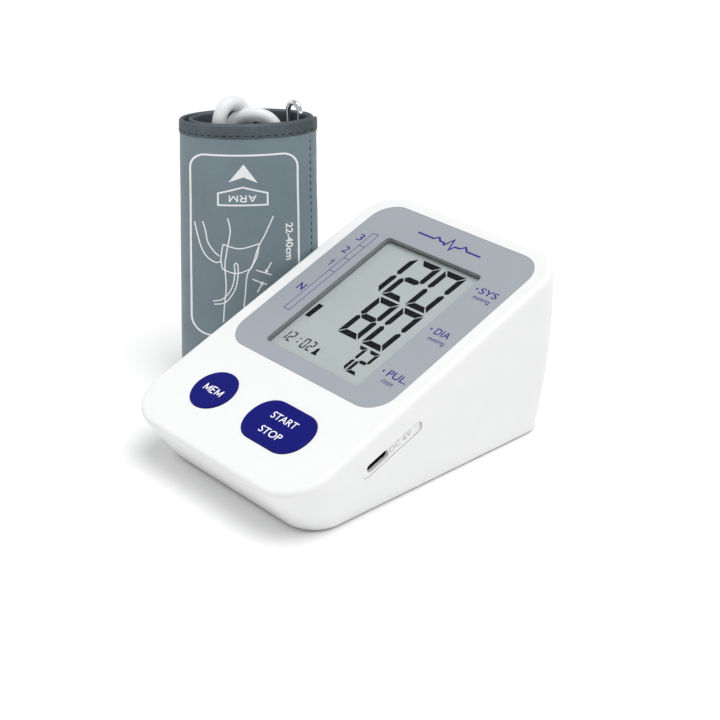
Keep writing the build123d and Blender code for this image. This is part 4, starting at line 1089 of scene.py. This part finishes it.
# an arm from the shoulder down, the cuff round it, its hose and a helping hand, as curves
SKETCH = (
    [(-8.6, 74.5), (-7.6, 69.0), (-8.9, 61.0), (-9.8, 54.0), (-9.4, 45.0), (-10.2, 36.0), (-10.6, 29.0)],
    [(9.2, 75.0), (6.4, 68.5), (3.2, 62.0), (1.0, 55.0), (-1.2, 50.0), (-2.0, 42.0), (-2.6, 34.0),
     (-1.4, 29.5)],
    [(-10.4, 63.4), (-4.0, 61.6), (3.6, 63.6)],
    [(-10.4, 63.4), (-11.3, 57.5), (-10.8, 52.6)],
    [(3.6, 63.6), (2.6, 58.0), (0.2, 52.8)],
    [(-10.8, 52.6), (-5.4, 50.8), (0.2, 52.8)],
    [(-6.2, 54.6), (-6.0, 50.6), (-7.2, 44.5), (-10.5, 39.6), (-14.6, 38.2)],
    [(-4.8, 54.6), (-4.7, 50.4), (-6.0, 43.6), (-9.7, 38.0), (-14.2, 36.8)],
    [(-6.2, 54.6), (-5.5, 55.4), (-4.8, 54.6)],
    [(-18.4, 72.6), (-17.2, 68.4), (-16.4, 64.0), (-14.2, 60.4), (-12.0, 58.2)],
    [(-21.6, 72.0), (-20.4, 66.5), (-18.8, 61.0), (-16.6, 57.4), (-13.4, 55.4), (-11.4, 56.0)],
)
GAP_MARKS = (
    ([(2.2, 52.2), (8.4, 49.6)], 0.5),
    ([(0.8, 48.2), (6.4, 45.6)], 0.5),
    ([(8.2, 55.2), (6.2, 51.4)], 0.5),
    ([(4.6, 46.2), (2.6, 42.4)], 0.5),
)
GAP_TIPS = ([(5.6, 50.4), (7.2, 51.4), (5.8, 52.4)], [(5.0, 47.2), (3.6, 46.2), (5.0, 45.2)])


def make_cuff_print():
    frame_outline = rounded_box(*FRAME_LINE, (7.6, 7.6, 6.0, 6.0))
    lines = [(frame_outline, 0.75, True), (END_BOX, 0.7, True)]
    lines += [(smooth_line(points), 0.5, False) for points in SKETCH]
    lines += [(points, width, False) for points, width in GAP_MARKS]
    mesh = strokes("cuff_lines", lines, cuff_face, thickness=0.05, longest=1.4)
    add_piece("cuff_lines", mesh, "print_white", "cuff")
    mesh = draw("cuff_arrow", [*ARROW, *GAP_TIPS], cuff_face, thickness=0.05, longest=1.4)
    add_piece("cuff_arrow", mesh, "print_white", "cuff")
    mesh = spell("arm_word", "ARM", (10.4, 2.7), cuff_face, (2.6, 84.2), 0.5, True, 0.05, 1.4)
    add_piece("arm_word", mesh, "print_white", "cuff")
    mesh = write("size_word", "22-40cm", (16.0, 2.8), cuff_face, turn=-90, corner=(13.9, 71.4), weight=0.02,
                 thickness=0.05, longest=1.4)
    add_piece("size_word", mesh, "print_white", "cuff")


make_cuff_print()

# ---------------------------------------------------------------- sleeve that holds the D-ring
RING_LEG = (20.8, -0.8)
SLEEVE_ENDS = (14.0, 102.0)
SLEEVE_CLOTH = 0.6
SLEEVE_RADIUS = 1.6  # of the cloth's middle round the ring's leg


def make_ring_sleeve():
    loop = [(23.4, 0.0), (22.8, 0.2)]
    for step in range(13):
        angle = radians(40 + 280 * step / 12)
        loop.append((RING_LEG[0] + SLEEVE_RADIUS * cos(angle), RING_LEG[1] + SLEEVE_RADIUS * sin(angle)))
    loop += [(22.8, -1.5), (23.4, -1.3)]
    work = bmesh.new()
    layer = work.loops.layers.uv.new("UVMap")
    quads = ribbon(loop, SLEEVE_CLOTH)
    section = [quad[0] for quad in quads] + [quads[-1][3], quads[-1][2]]
    section += [quad[1] for quad in reversed(quads)]
    rows = 30
    rings = []
    for row in range(rows + 1):
        z = SLEEVE_ENDS[0] + (SLEEVE_ENDS[1] - SLEEVE_ENDS[0]) * row / rows
        sway = 0.12 * sin(z * 0.5)
        rings.append([work.verts.new(in_cuff(u, w + sway * max(0.0, u - 22) * 0.5, z)) for u, w in section])
    size = len(section)
    for row in range(rows):
        for k in range(size):
            other = (k + 1) % size
            near, far = rings[row], rings[row + 1]
            face = work.faces.new((near[k], near[other], far[other], far[k]))
            places = ((k, row), (k + 1, row), (k + 1, row + 1), (k, row + 1))
            for corner, (across, up) in zip(face.loops, places):
                corner[layer].uv = (across * 0.0008, up * 0.0029)
    work.faces.new(rings[0])
    work.faces.new(rings[-1])
    mesh = finish_bmesh(work, "ring_loop", smooth=True)
    piece = add_piece("ring_loop", mesh, "lining_cloth", "cuff")
    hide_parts("ring_sleeve")


make_ring_sleeve()

# ---------------------------------------------------------------- the hose rides with the cuff
hose.data.materials.append(MATERIALS["hose"])
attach(hose, "cuff")
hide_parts("air_hose")


# ---------------------------------------------------------------- studio
FLOOR_HALF = 3.0  # metres
SKY_STRENGTH = 0.52


def make_floor():
    mesh = bpy.data.meshes.new("floor")
    corners = [(x * FLOOR_HALF, y * FLOOR_HALF, 0) for x, y in ((-1, -1), (1, -1), (1, 1), (-1, 1))]
    mesh.from_pydata(corners, [], [(0, 1, 2, 3)])
    floor_piece = bpy.data.objects.new("floor", mesh)
    bpy.context.scene.collection.objects.link(floor_piece)
    made = Nodes("floor", (0.95, 0.95, 0.95), 0.9)
    made.tint(made.noise(300.0, 2), 0.004)
    mesh.materials.append(made.material)


def sun_light(name, toward, strength, spread):
    """Even light from a direction; spread is its disc's width in degrees, which softens the shadow."""
    data = bpy.data.lights.new(name, "SUN")
    data.energy, data.angle = strength, radians(spread)
    light = bpy.data.objects.new(name, data)
    light.rotation_mode = "QUATERNION"
    light.rotation_quaternion = (-Vector(toward)).to_track_quat("-Z", "Y")
    bpy.context.scene.collection.objects.link(light)


make_floor()
sun_light("key", (0.30, 0.10, 1.0), 2.0, 45)
sun_light("side", (-0.95, -0.35, 0.5), 0.34, 40)
world = bpy.data.worlds.new("studio")
bpy.context.scene.world = world
world.use_nodes = True
world.node_tree.nodes["Background"].inputs["Color"].default_value = (1, 1, 1, 1)
world.node_tree.nodes["Background"].inputs["Strength"].default_value = SKY_STRENGTH
bpy.context.scene.view_settings.view_transform = "Standard"
